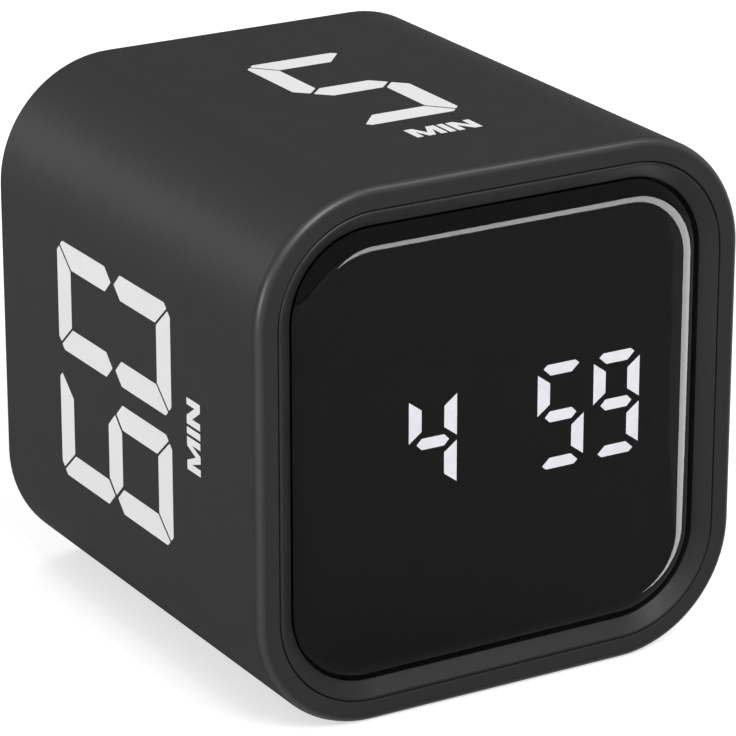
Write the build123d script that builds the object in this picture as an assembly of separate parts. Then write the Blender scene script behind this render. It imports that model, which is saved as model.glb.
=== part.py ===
from build123d import *
import math
import os

# Cube timer, in millimetres. X is the width, Y runs from the display to the rear, Z is up.
# The bottom face lies on Z = 0, and the display looks along -Y.

# Whole cube
WIDTH = 60.0
HEIGHT = 60.0
DEPTH = 60.0
CORNER_R = 14.0
OVERRUN = 1.0

# Body sleeve
WALL = 2.5
FRONT_EDGE_R = 1.1
REAR_EDGE_R = 0.5
RIM_EDGE_R = 0.15
LEDGE_W = 4.0
LEDGE_T = 3.0

# Front bezel
PARTING_GAP = 0.1
BEZEL_DEPTH = 5.0
BEZEL_LAND = 0.35
BEZEL_SLOPE_W = 1.55
BEZEL_SLOPE_D = 1.2
BEZEL_EDGE_R = 0.25
PEG_R = 1.0
PEG_CLEARANCE = 0.1
PEG_SHORT = 0.3
PEG_SPREAD = 16.0

# Display lens and its tape
LENS_GAP = 0.2
LENS_T = 1.45
LENS_EDGE_T = 0.65
LENS_CROWN_W = 2.45
LENS_SET_BACK = 0.3
TAPE_T = 0.3
TAPE_MARGIN = 0.3

# Display module and its segments
DIGIT_W = 5.95
DIGIT_H = 12.0
DIGIT_PITCH = 7.15
COLON_PITCH = 16.1
BAR_T = 1.27
POST_T = 1.57
POST_END = 1.0
POST_MID = 0.28
POST_CUT = 1.15
CAP_SIDE = 0.7
CAP_EDGE_CUT = 0.5
CAP_TIP = 0.42
CAP_FOOT_CUT = 0.92
MID_SIDE = 0.95
COLON_R = 0.75
COLON_RISE = 2.4
SEGMENT_DEPTH = 1.2
MODULE_SIDE = 1.7
MODULE_CAP = 2.0
MODULE_GAP = 0.1
MODULE_EDGE_R = 0.4
PIN_R = 0.25
PIN_PLAY = 0.15
PIN_PITCH = 5.08
PIN_INSET = 1.6
PIN_OUT = 1.2
PINS_PER_ROW = 6

# Main board and what it carries
BOARD_T = 1.6
BOARD_EDGE_GAP = 0.7
BOARD_NOTCH_GAP = 0.6
BOARD_SCREW_R = 0.8
BOARD_SCREW_HEAD_R = 1.6
BOARD_SCREW_HEAD_T = 1.1
BOARD_SCREW_BITE = 2.4
BOARD_SCREW_DROP = 5.0
SCREW_PLAY = 0.05
SCREW_HOLE_PLAY = 0.2
SCREW_TIP_ROOM = 0.6
CHIP_SIDE = 9.0
CHIP_T = 1.5
CHIP_STAND = 0.2
CHIP_LEG_W = 0.5
CHIP_LEG_PITCH = 1.1
CHIP_LEG_OUT = 1.2
CHIP_LEG_T = 0.25
CHIP_LEGS_PER_SIDE = 7
CHIP_X = -9.0
CHIP_DROP = 14.5
CHIP_EDGE_CUT = 0.25
SENSOR_SIDE = 3.0
SENSOR_T = 1.0
SENSOR_X = 3.0
SENSOR_DROP = 14.0
SENSOR_EDGE_CUT = 0.2

# Rear cover
REAR_RECESS = 1.2
COVER_T = 2.0
COVER_GAP = 0.15
COVER_EDGE_R = 0.3
TAB_W = 8.0
TAB_T = 1.0
TAB_REACH = 1.0
TAB_CLEARANCE = 0.15
TAB_SPREAD = 12.0
BOSS_R = 3.5
BOSS_BITE = 0.5
COVER_SCREW_R = 1.05
COVER_SCREW_LEN = 8.0
COVER_SCREW_HEAD_R = 2.2
COVER_SCREW_HEAD_T = 1.2
COVER_SCREW_EDGE_R = 0.25
COUNTERBORE_PLAY = 0.25
COUNTERBORE_FLOOR = 0.7
DRIVE_W = 0.6
DRIVE_REACH = 1.3
DRIVE_DEPTH = 0.6

# Cells
CELL_D = 10.5
CELL_L = 44.5
CELL_NUB_R = 1.9
CELL_NUB_L = 0.9
CELL_EDGE_R = 0.4
CELL_FOOT_R = 3.6
CELL_FOOT_L = 0.2
CELL_GAP = 0.5
CELL_SIDE = 0.4
CELL_FLOOR_GAP = 0.3
CELL_DOOR_GAP = 0.5

# Battery bay, moulded with the rear cover
BAY_WALL = 1.2
BAY_CORNER_R = 2.2
BAY_RISE = 4.95
CONTACT_T = 0.4
CONTACT_SIDE = 6.4
DIMPLE_R = 1.2
DIMPLE_H = 0.5
DIMPLE_TIP_R = 0.7
NUB_GAP = 0.1
BAY_RIB_W = 1.2
BAY_RIB_H = 2.0
BAY_RIB_SHORT = 6.0
SPRING_ROOM = 2.9
TAIL_W = 3.0
TAIL_OUT = 2.4
TAIL_SLOT_PLAY = 0.2

# Coil springs under the cells
SPRING_WIRE_R = 0.25
SPRING_BASE_R = 3.2
SPRING_TIP_R = 1.7
SPRING_TURNS = 2.5
SPRING_SEAT = 0.06

# Battery door
DOOR_T = 1.6
DOOR_LAP = 1.0
DOOR_GAP = 0.2
DOOR_CORNER_R = 4.0
TOE_W = 6.0
TOE_T = 1.0
TOE_REACH = 0.6
TOE_DROP = 0.6
TOE_LEG = 1.3
TOE_SPREAD = 15.0
TOE_PLAY = 0.3
TOE_SWING_PLAY = 0.9
SLIT_W = 0.7
SLIT_LEN = 6.0
FINGER_W = 12.0
GRIP_LEN = 8.0
GRIP_W = 0.7
GRIP_H = 0.35
GRIP_PITCH = 1.5
GRIP_INSET = 1.3
GRIPS = 3
SCOOP_W = 11.0
SCOOP_R = 9.0
SCOOP_DEPTH = 1.0

# Control board
CONTROL_T = 1.2
CONTROL_H = 9.6
CONTROL_SIDE_GAP = 2.9
CONTROL_CLEAR = 1.25
STAND_R = 2.2
STAND_INSET = 2.4
STAND_SCREW_R = 0.8
STAND_SCREW_HEAD_R = 1.6
STAND_SCREW_HEAD_T = 1.1
STAND_SCREW_BITE = 4.0

# Buttons and their switches
BUTTON_R = 3.3
BUTTON_PROUD = 0.5
BUTTON_EDGE_R = 0.35
BUTTON_DISH_R = 9.0
BUTTON_DISH = 0.35
BUTTON_CLEARANCE = 0.2
KEY_TRAVEL = 0.5
FLANGE_LIP = 0.7
FLANGE_T = 0.8
FLANGE_GAP = 0.05
STEM_R = 1.4
STEM_LEN = 0.7
FIRST_BUTTON_X = 15.4
BUTTON_PITCH = 8.8
PLUNGER_R = 1.7
PLUNGER_GAP = 0.05
PLUNGER_STAND = 0.4
PLUNGER_SUNK = 1.0
PLUNGER_PLAY = 0.1
PLUNGER_ROOM = 0.5
SWITCH_SIDE = 6.0
SWITCH_H = 3.5
SWITCH_LID_T = 0.3
SWITCH_LID_INSET = 0.3

# Volume knob and slide switch
KNOB_X = -13.5
KNOB_L = 4.0
KNOB_W = 2.6
KNOB_TRAVEL = 2.0
KNOB_CLEARANCE = 0.2
KNOB_BASE_L = 7.6
KNOB_BASE_W = 5.0
KNOB_BASE_T = 1.2
KNOB_BASE_GAP = 0.1
KNOB_RIB_W = 0.5
KNOB_RIB_DEPTH = 0.4
KNOB_RIB_PITCH = 1.1
KNOB_RIBS = 3
KNOB_PROUD = 0.6
KNOB_EDGE_R = 0.35
LEVER_SIDE = 1.6
LEVER_PLAY = 0.1
LEVER_BITE = 1.6
LEVER_FOOT_L = 3.0
LEVER_FOOT_W = 3.0
LEVER_FOOT_T = 0.8
SLIDER_L = 9.0
SLIDER_W = 4.6
SLIDER_H = 3.0
SLIDER_WALL = 0.4
SLIDER_PLAY = 0.2

# Buzzer
BUZZER_R = 6.0
BUZZER_H = 6.0
BUZZER_SEAT = 0.05
BUZZER_HOLE_R = 1.0
BUZZER_HOLE_DEPTH = 2.0
BUZZER_EDGE_R = 0.5
COLLAR_PLAY = 0.15
COLLAR_WALL = 1.0
COLLAR_H = 3.0
COLLAR_GAP = 0.55
SOUND_R = 0.8
SOUND_RING_R = 3.2
SOUND_HOLES = 6

# Leads and ribbon
LEAD_R = 0.6
LEAD_BEND_R = 5.0
LEAD_STEP = 2.2
LEAD_LAND = 2.2
BUZZER_LEAD_R = 0.4
BUZZER_LEAD_SPREAD = 2.5
BUZZER_LEAD_RUN = 4.4
BUZZER_LEAD_BEND_R = 2.6
BUZZER_LEAD_LAND = 1.4
RIBBON_W = 8.0
RIBBON_T = 0.9
RIBBON_BEND_R = 9.0
RIBBON_SLOPE = 12.0
RIBBON_X = 11.0
RIBBON_RISE = 14.0
SOCKET_L = 10.0
SOCKET_W = 4.6
SOCKET_H = 5.0
SOCKET_MOUTH = 1.6
SOCKET_PLAY = 0.2

# Depth levels, from the front plane to the rear plane
FRONT_Y = -DEPTH / 2
REAR_Y = DEPTH / 2
LENS_FACE_Y = FRONT_Y + LENS_SET_BACK
LENS_BACK_Y = LENS_FACE_Y + LENS_T
SEAT_Y = LENS_BACK_Y + TAPE_T
BEZEL_BACK_Y = FRONT_Y + BEZEL_DEPTH
LEDGE_BACK_Y = BEZEL_BACK_Y + LEDGE_T
BOARD_BACK_Y = LEDGE_BACK_Y + BOARD_T
MODULE_FACE_Y = LENS_BACK_Y + MODULE_GAP
COVER_FACE_Y = REAR_Y - REAR_RECESS
COVER_INNER_Y = COVER_FACE_Y - COVER_T
DOOR_INNER_Y = COVER_FACE_Y - DOOR_T
CELL_Y = DOOR_INNER_Y - CELL_DOOR_GAP - CELL_D / 2
BAY_FLOOR_Y = CELL_Y - CELL_D / 2 - CELL_FLOOR_GAP
BAY_BACK_Y = BAY_FLOOR_Y - BAY_WALL
FLANGE_TOP_Y = COVER_INNER_Y - FLANGE_GAP
STEM_END_Y = FLANGE_TOP_Y - FLANGE_T - STEM_LEN
PLUNGER_TOP_Y = STEM_END_Y - PLUNGER_GAP
SWITCH_TOP_Y = PLUNGER_TOP_Y - KEY_TRAVEL - PLUNGER_STAND
CONTROL_Y = SWITCH_TOP_Y - SWITCH_H
CONTROL_FRONT_Y = CONTROL_Y - CONTROL_T
KNOB_BASE_TOP_Y = COVER_INNER_Y - KNOB_BASE_GAP
KNOB_BASE_LOW_Y = KNOB_BASE_TOP_Y - KNOB_BASE_T
SLIDER_TOP_Y = CONTROL_Y + SLIDER_H
SLIDER_LID_Y = SLIDER_TOP_Y - SLIDER_WALL
BUZZER_TOP_Y = COVER_INNER_Y - BUZZER_SEAT
BUZZER_LOW_Y = BUZZER_TOP_Y - BUZZER_H
SCREW_SEAT_Y = COVER_INNER_Y + COUNTERBORE_FLOOR
SEGMENT_END_Y = MODULE_FACE_Y + SEGMENT_DEPTH
TOE_TOP_Y = DOOR_INNER_Y - TOE_DROP
TOE_LOW_Y = TOE_TOP_Y - TOE_T
MAIN_SOCKET_Y = BOARD_BACK_Y + SOCKET_H
MAIN_MOUTH_Y = MAIN_SOCKET_Y - SOCKET_MOUTH
CONTROL_SOCKET_Y = CONTROL_FRONT_Y - SOCKET_H
CONTROL_MOUTH_Y = CONTROL_SOCKET_Y + SOCKET_MOUTH

# Insets from the outer outline
BEZEL_INSET = WALL + PARTING_GAP
POCKET_INSET = BEZEL_INSET + BEZEL_LAND + BEZEL_SLOPE_W
LENS_INSET = POCKET_INSET + LENS_GAP
OPENING_INSET = WALL + LEDGE_W
LEDGE_MID_INSET = WALL + LEDGE_W / 2
COVER_INSET = WALL + COVER_GAP
CROWN_INSET = LENS_INSET + LENS_CROWN_W

# Places seen from the middle of the cube: X to the right, Z up
HALF_ROOT = math.sqrt(2) / 2
BOSS_ARM = (CORNER_R - WALL - BOSS_R + BOSS_BITE) * HALF_ROOT
BOSS_X = WIDTH / 2 - CORNER_R + BOSS_ARM
BOSS_Z = HEIGHT / 2 - CORNER_R + BOSS_ARM
NUB_ROOM = DIMPLE_H + NUB_GAP
BAY_L = CELL_L + SPRING_ROOM + NUB_ROOM + 2 * CONTACT_T
BAY_H = 2 * CELL_D + CELL_GAP + 2 * CELL_SIDE
BAY_Z = BAY_RISE + WALL + BAY_WALL + BAY_H / 2 - HEIGHT / 2
BAY_TOP = BAY_Z + BAY_H / 2
CELL_RISE = (CELL_D + CELL_GAP) / 2
UPPER_Z = BAY_Z + CELL_RISE
LOWER_Z = BAY_Z - CELL_RISE
CELL_SHIFT = (SPRING_ROOM - NUB_ROOM) / 2
DOOR_TOP = BAY_TOP + DOOR_LAP
DOOR_FOOT = BAY_Z - BAY_H / 2 - DOOR_LAP
DOOR_W = BAY_L + 2 * DOOR_LAP
HINGE_Z = DOOR_TOP - DOOR_T / 2
HINGE_Y = COVER_FACE_Y - DOOR_T / 2
TAB_TALL = TAB_REACH + COVER_GAP + COVER_EDGE_R
TAB_Z = COVER_INSET + COVER_EDGE_R - TAB_TALL / 2 - HEIGHT / 2
CONTROL_Z = BAY_TOP + BAY_WALL + CONTROL_CLEAR + CONTROL_H / 2
CONTROL_L = WIDTH - 2 * (WALL + CONTROL_SIDE_GAP)
STAND_X = CONTROL_L / 2 - STAND_INSET
COLLAR_R = BUZZER_R + COLLAR_PLAY + COLLAR_WALL
BUZZER_Z = HEIGHT / 2 - WALL - COLLAR_GAP - COLLAR_R
MODULE_W = COLON_PITCH + 2 * DIGIT_PITCH + DIGIT_W + 2 * MODULE_SIDE
MODULE_H = DIGIT_H + 2 * MODULE_CAP
SCREW_SIDE_X = WIDTH / 2 - LEDGE_MID_INSET
SCREW_SIDE_Z = HEIGHT / 2 - LEDGE_MID_INSET
BOARD_SCREW_SPOTS = [(SCREW_SIDE_X, -BOARD_SCREW_DROP), (-SCREW_SIDE_X, -BOARD_SCREW_DROP)]
BOARD_SCREW_SPOTS += [(BOARD_SCREW_DROP, SCREW_SIDE_Z), (BOARD_SCREW_DROP, -SCREW_SIDE_Z)]
PEG_SPOTS = [(side * SCREW_SIDE_X, tall * PEG_SPREAD) for side in (-1, 1) for tall in (-1, 1)]
BUTTON_XS = [FIRST_BUTTON_X - BUTTON_PITCH * place for place in range(3)]
FLANGE_R = BUTTON_R + FLANGE_LIP
CONTACT_X = BAY_L / 2 - CONTACT_T / 2
LONG_TAIL = TAIL_OUT + LEAD_STEP
RED_LAND_Z = CONTROL_Z - CONTROL_H / 2 + LEAD_LAND
BLACK_LAND_Z = CONTROL_Z + CONTROL_H / 2 - LEAD_LAND
INNER_DIGIT_X = COLON_PITCH / 2
OUTER_DIGIT_X = INNER_DIGIT_X + DIGIT_PITCH


def outline(inset):
    """The rounded square of the cube, drawn in by an inset."""
    return RectangleRounded(WIDTH - 2 * inset, HEIGHT - 2 * inset, CORNER_R - inset)


def at_depth(depth):
    """A drawing plane in X and Z through the middle of the cube."""
    return Plane(origin=(0, depth, HEIGHT / 2), x_dir=(1, 0, 0), z_dir=(0, -1, 0))


def slab(sketch, near, far):
    """A flat drawing made solid between two depths."""
    return extrude(at_depth(far) * sketch, amount=far - near, dir=(0, -1, 0))


def rod(x, z, radius, near, far):
    """A round post along the depth of the cube."""
    return slab(Pos(x, z) * Circle(radius), near, far)


def block(x, z, wide, tall, near, far):
    """A square-edged block along the depth of the cube."""
    return slab(Pos(x, z) * Rectangle(wide, tall), near, far)


def front_edges(solid):
    """The edges of a solid that lie nearest the display."""
    return solid.edges().group_by(Axis.Y)[0]


def rear_edges(solid):
    """The edges of a solid that lie nearest the rear."""
    return solid.edges().group_by(Axis.Y)[-1]


def spot(x, depth, z):
    """A point, with its height counted from the middle of the cube."""
    return Vector(x, depth, z + HEIGHT / 2)


def body_sleeve():
    """The outer tube with its bezel pocket, board ledge and screw bosses."""
    sleeve = slab(outline(0), FRONT_Y, REAR_Y)
    sleeve = fillet(front_edges(sleeve), FRONT_EDGE_R)
    sleeve = fillet(rear_edges(sleeve), REAR_EDGE_R)
    sleeve -= slab(outline(WALL), FRONT_Y - OVERRUN, BEZEL_BACK_Y)
    sleeve -= slab(outline(OPENING_INSET), FRONT_Y - OVERRUN, REAR_Y + OVERRUN)
    sleeve -= slab(outline(WALL), LEDGE_BACK_Y, REAR_Y + OVERRUN)
    rim = sleeve.faces().filter_by(Axis.Y).sort_by(Axis.Y)[0]
    sleeve = fillet(rim.inner_wires()[0].edges(), RIM_EDGE_R)
    rim = sleeve.faces().filter_by(Axis.Y).sort_by(Axis.Y)[-1]
    sleeve = fillet(rim.inner_wires()[0].edges(), RIM_EDGE_R)
    for side in (-1, 1):
        sleeve += rod(side * BOSS_X, BOSS_Z, BOSS_R, LEDGE_BACK_Y, COVER_INNER_Y)
    for side in (-1, 1):
        pilot_end = SCREW_SEAT_Y - COVER_SCREW_LEN - SCREW_TIP_ROOM
        pilot_r = COVER_SCREW_R + SCREW_PLAY
        sleeve -= rod(side * BOSS_X, BOSS_Z, pilot_r, pilot_end, COVER_INNER_Y)
        tab_low = COVER_INNER_Y - TAB_CLEARANCE
        tab_high = COVER_INNER_Y + TAB_T + TAB_CLEARANCE
        tab_deep = 2 * (TAB_REACH + TAB_CLEARANCE)
        tab_wide = TAB_W + 2 * TAB_CLEARANCE
        sleeve -= block(side * TAB_SPREAD, WALL - HEIGHT / 2, tab_wide, tab_deep, tab_low, tab_high)
    for x, z in BOARD_SCREW_SPOTS:
        bite_end = LEDGE_BACK_Y - BOARD_SCREW_BITE - SCREW_PLAY
        sleeve -= rod(x, z, BOARD_SCREW_R + SCREW_PLAY, bite_end, LEDGE_BACK_Y)
    for x, z in PEG_SPOTS:
        sleeve -= rod(x, z, PEG_R + PEG_CLEARANCE, BEZEL_BACK_Y, LEDGE_BACK_Y)
    return sleeve


def front_bezel():
    """The sloping frame between the rim and the lens, pegged to the ledge."""
    frame = slab(outline(BEZEL_INSET), FRONT_Y, BEZEL_BACK_Y)
    frame = fillet(front_edges(frame), BEZEL_EDGE_R)
    mouth = at_depth(FRONT_Y) * outline(BEZEL_INSET + BEZEL_LAND)
    throat = at_depth(FRONT_Y + BEZEL_SLOPE_D) * outline(POCKET_INSET)
    frame -= loft([mouth, throat], ruled=True)
    frame -= slab(outline(POCKET_INSET), FRONT_Y + BEZEL_SLOPE_D, SEAT_Y)
    frame -= slab(outline(OPENING_INSET), SEAT_Y, BEZEL_BACK_Y)
    for x, z in PEG_SPOTS:
        frame += rod(x, z, PEG_R, BEZEL_BACK_Y, LEDGE_BACK_Y - PEG_SHORT)
    return frame


def lens_section():
    """The crowned edge of the lens, drawn upward from the centre of a corner."""
    drop = LENS_T - LENS_EDGE_T
    crown_r = (LENS_CROWN_W ** 2 + drop ** 2) / (2 * drop)
    half_turn = math.asin(LENS_CROWN_W / crown_r) / 2
    inner = CORNER_R - CROWN_INSET
    outer = CORNER_R - LENS_INSET
    crown = (0, LENS_FACE_Y, inner)
    edge = (0, LENS_FACE_Y + drop, outer)
    middle_down = crown_r * (1 - math.cos(half_turn))
    middle = (0, LENS_FACE_Y + middle_down, inner + crown_r * math.sin(half_turn))
    line = ThreePointArc(crown, middle, edge)
    line += Polyline(edge, (0, LENS_BACK_Y, outer), (0, LENS_BACK_Y, inner), crown)
    return make_face(line)


def display_lens():
    """The smoked pane: flat inside, with a crowned band round its edge."""
    lens = slab(outline(CROWN_INSET), LENS_FACE_Y, LENS_BACK_Y)
    half_x = WIDTH / 2 - CORNER_R
    half_z = HEIGHT / 2 - CORNER_R
    for quarter in range(4):
        along, away = (half_x, half_z) if quarter % 2 == 0 else (half_z, half_x)
        section = Pos(0, 0, away) * lens_section()
        band = extrude(section, amount=along, both=True)
        band += revolve(Pos(along, 0, 0) * section, Axis((along, 0, away), (0, 1, 0)), 90)
        lens += Pos(0, 0, HEIGHT / 2) * Rot(0, 90 * quarter, 0) * band
    return lens


def lens_tape():
    """The adhesive frame between the lens and its seat."""
    tape = slab(outline(LENS_INSET + TAPE_MARGIN), LENS_BACK_Y, SEAT_Y)
    return tape - slab(outline(OPENING_INSET), LENS_BACK_Y, SEAT_Y)


def segment_shapes():
    """The seven bars of one digit, drawn about the middle of the digit."""
    side = DIGIT_W / 2
    high = DIGIT_H / 2
    inner = side - POST_T
    top = high - POST_END
    right_post = [(side, top), (inner, top - POST_CUT), (inner, POST_MID + POST_CUT), (side, POST_MID)]
    tip = side - CAP_SIDE
    edge = tip - CAP_EDGE_CUT
    foot = tip - CAP_FOOT_CUT
    cap = [(-edge, high), (edge, high), (tip, high - CAP_TIP)]
    cap += [(foot, high - BAR_T), (-foot, high - BAR_T), (-tip, high - CAP_TIP)]
    point = side - MID_SIDE
    half = BAR_T / 2
    waist = point - half
    middle = [(-point, 0), (-waist, half), (waist, half)]
    middle += [(point, 0), (waist, -half), (-waist, -half)]
    shapes = {"a": cap, "g": middle, "b": right_post}
    shapes["d"] = [(x, -z) for x, z in cap]
    shapes["c"] = [(x, -z) for x, z in right_post]
    shapes["f"] = [(-x, z) for x, z in right_post]
    shapes["e"] = [(-x, -z) for x, z in right_post]
    return shapes


def digit_bars(names, x):
    """The named bars of a digit whose middle stands at x."""
    shapes = segment_shapes()
    bars = []
    for name in names:
        bars.append(Pos(x, 0) * Polygon(*shapes[name], align=None))
    return bars


def lit_bars():
    """The bars that show 4 59."""
    bars = digit_bars("bcfg", -INNER_DIGIT_X)
    bars += digit_bars("acdfg", INNER_DIGIT_X)
    return bars + digit_bars("abcdfg", OUTER_DIGIT_X)


def unlit_bars():
    """The bars that stay dark, the whole first digit among them."""
    bars = digit_bars("abcdefg", -OUTER_DIGIT_X)
    bars += digit_bars("ade", -INNER_DIGIT_X)
    return bars + digit_bars("be", INNER_DIGIT_X) + digit_bars("e", OUTER_DIGIT_X)


def colon_spots():
    """The two dots between minutes and seconds."""
    return [Pos(0, side * COLON_RISE) * Circle(COLON_R) for side in (-1, 1)]


def windows(drawings):
    """Light windows cast into the face of the display module."""
    return [slab(drawing, MODULE_FACE_Y, SEGMENT_END_Y) for drawing in drawings]


def display_module():
    """The reflector block, with a recess for every segment."""
    module = block(0, 0, MODULE_W, MODULE_H, MODULE_FACE_Y, LEDGE_BACK_Y)
    module = fillet(module.edges().filter_by(Axis.Y), MODULE_EDGE_R)
    return module - windows(lit_bars() + unlit_bars() + colon_spots())


def pin_spots():
    """The places of the module's pins, in two rows."""
    first = -PIN_PITCH * (PINS_PER_ROW - 1) / 2
    rise = MODULE_H / 2 - PIN_INSET
    spots = []
    for row in (-rise, rise):
        for place in range(PINS_PER_ROW):
            spots.append((first + PIN_PITCH * place, row))
    return spots


def module_pins():
    """The round pins that carry the module through the main board."""
    end = BOARD_BACK_Y + PIN_OUT
    return Compound([rod(x, z, PIN_R, LEDGE_BACK_Y, end).solid() for x, z in pin_spots()])


def main_board():
    """The board behind the display, notched round the screw bosses."""
    board = slab(outline(WALL + BOARD_EDGE_GAP), LEDGE_BACK_Y, BOARD_BACK_Y)
    for side in (-1, 1):
        notch_r = BOSS_R + BOARD_NOTCH_GAP
        board -= rod(side * BOSS_X, BOSS_Z, notch_r, LEDGE_BACK_Y, BOARD_BACK_Y)
    board = Part([max(board.solids(), key=lambda piece: piece.volume)])
    for x, z in BOARD_SCREW_SPOTS:
        board -= rod(x, z, BOARD_SCREW_R + SCREW_HOLE_PLAY, LEDGE_BACK_Y, BOARD_BACK_Y)
    for x, z in pin_spots():
        board -= rod(x, z, PIN_R + PIN_PLAY, LEDGE_BACK_Y, BOARD_BACK_Y)
    return board


def board_screws():
    """The four screws that hold the main board to the ledge."""
    screws = []
    for x, z in BOARD_SCREW_SPOTS:
        shank = rod(x, z, BOARD_SCREW_R, LEDGE_BACK_Y - BOARD_SCREW_BITE, BOARD_BACK_Y)
        head_end = BOARD_BACK_Y + BOARD_SCREW_HEAD_T
        head = rod(x, z, BOARD_SCREW_HEAD_R, BOARD_BACK_Y, head_end)
        screws.append((shank + head).solid())
    return Compound(screws)


def controller_chip():
    """The square chip with legs on all four sides."""
    foot_y = BOARD_BACK_Y + CHIP_STAND
    chip = block(CHIP_X, -CHIP_DROP, CHIP_SIDE, CHIP_SIDE, foot_y, foot_y + CHIP_T)
    chip = chamfer(rear_edges(chip), CHIP_EDGE_CUT)
    first = -CHIP_LEG_PITCH * (CHIP_LEGS_PER_SIDE - 1) / 2
    reach = CHIP_SIDE / 2 + CHIP_LEG_OUT / 2
    leg_y = foot_y + CHIP_T / 2
    for place in range(CHIP_LEGS_PER_SIDE):
        along = first + CHIP_LEG_PITCH * place
        for side in (-1, 1):
            x = CHIP_X + side * reach
            z = side * reach - CHIP_DROP
            far_x = CHIP_X + side * (CHIP_SIDE / 2 + CHIP_LEG_OUT - CHIP_LEG_T / 2)
            far_z = side * (CHIP_SIDE / 2 + CHIP_LEG_OUT - CHIP_LEG_T / 2) - CHIP_DROP
            line = along - CHIP_DROP
            chip += block(x, line, CHIP_LEG_OUT, CHIP_LEG_W, leg_y, leg_y + CHIP_LEG_T)
            chip += block(far_x, line, CHIP_LEG_T, CHIP_LEG_W, BOARD_BACK_Y, leg_y + CHIP_LEG_T)
            chip += block(CHIP_X + along, z, CHIP_LEG_W, CHIP_LEG_OUT, leg_y, leg_y + CHIP_LEG_T)
            chip += block(CHIP_X + along, far_z, CHIP_LEG_W, CHIP_LEG_T, BOARD_BACK_Y, leg_y + CHIP_LEG_T)
    return chip


def tilt_sensor():
    """The small chip that feels which face is down."""
    body_end = BOARD_BACK_Y + SENSOR_T
    sensor = block(SENSOR_X, -SENSOR_DROP, SENSOR_SIDE, SENSOR_SIDE, BOARD_BACK_Y, body_end)
    return chamfer(rear_edges(sensor), SENSOR_EDGE_CUT)


def bay_outline(grow):
    """The outline of the battery bay, grown by a wall."""
    shape = RectangleRounded(BAY_L + 2 * grow, BAY_H + 2 * grow, BAY_CORNER_R + grow)
    return Pos(0, BAY_Z) * shape


def door_outline(grow):
    """The outline of the battery door: square on top, round below."""
    tall = DOOR_TOP - DOOR_FOOT + 2 * grow
    shape = Rectangle(DOOR_W + 2 * grow, tall)
    shape = fillet(shape.vertices().group_by(Axis.Y)[0], DOOR_CORNER_R + grow)
    return Pos(0, (DOOR_TOP + DOOR_FOOT) / 2) * shape


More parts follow.
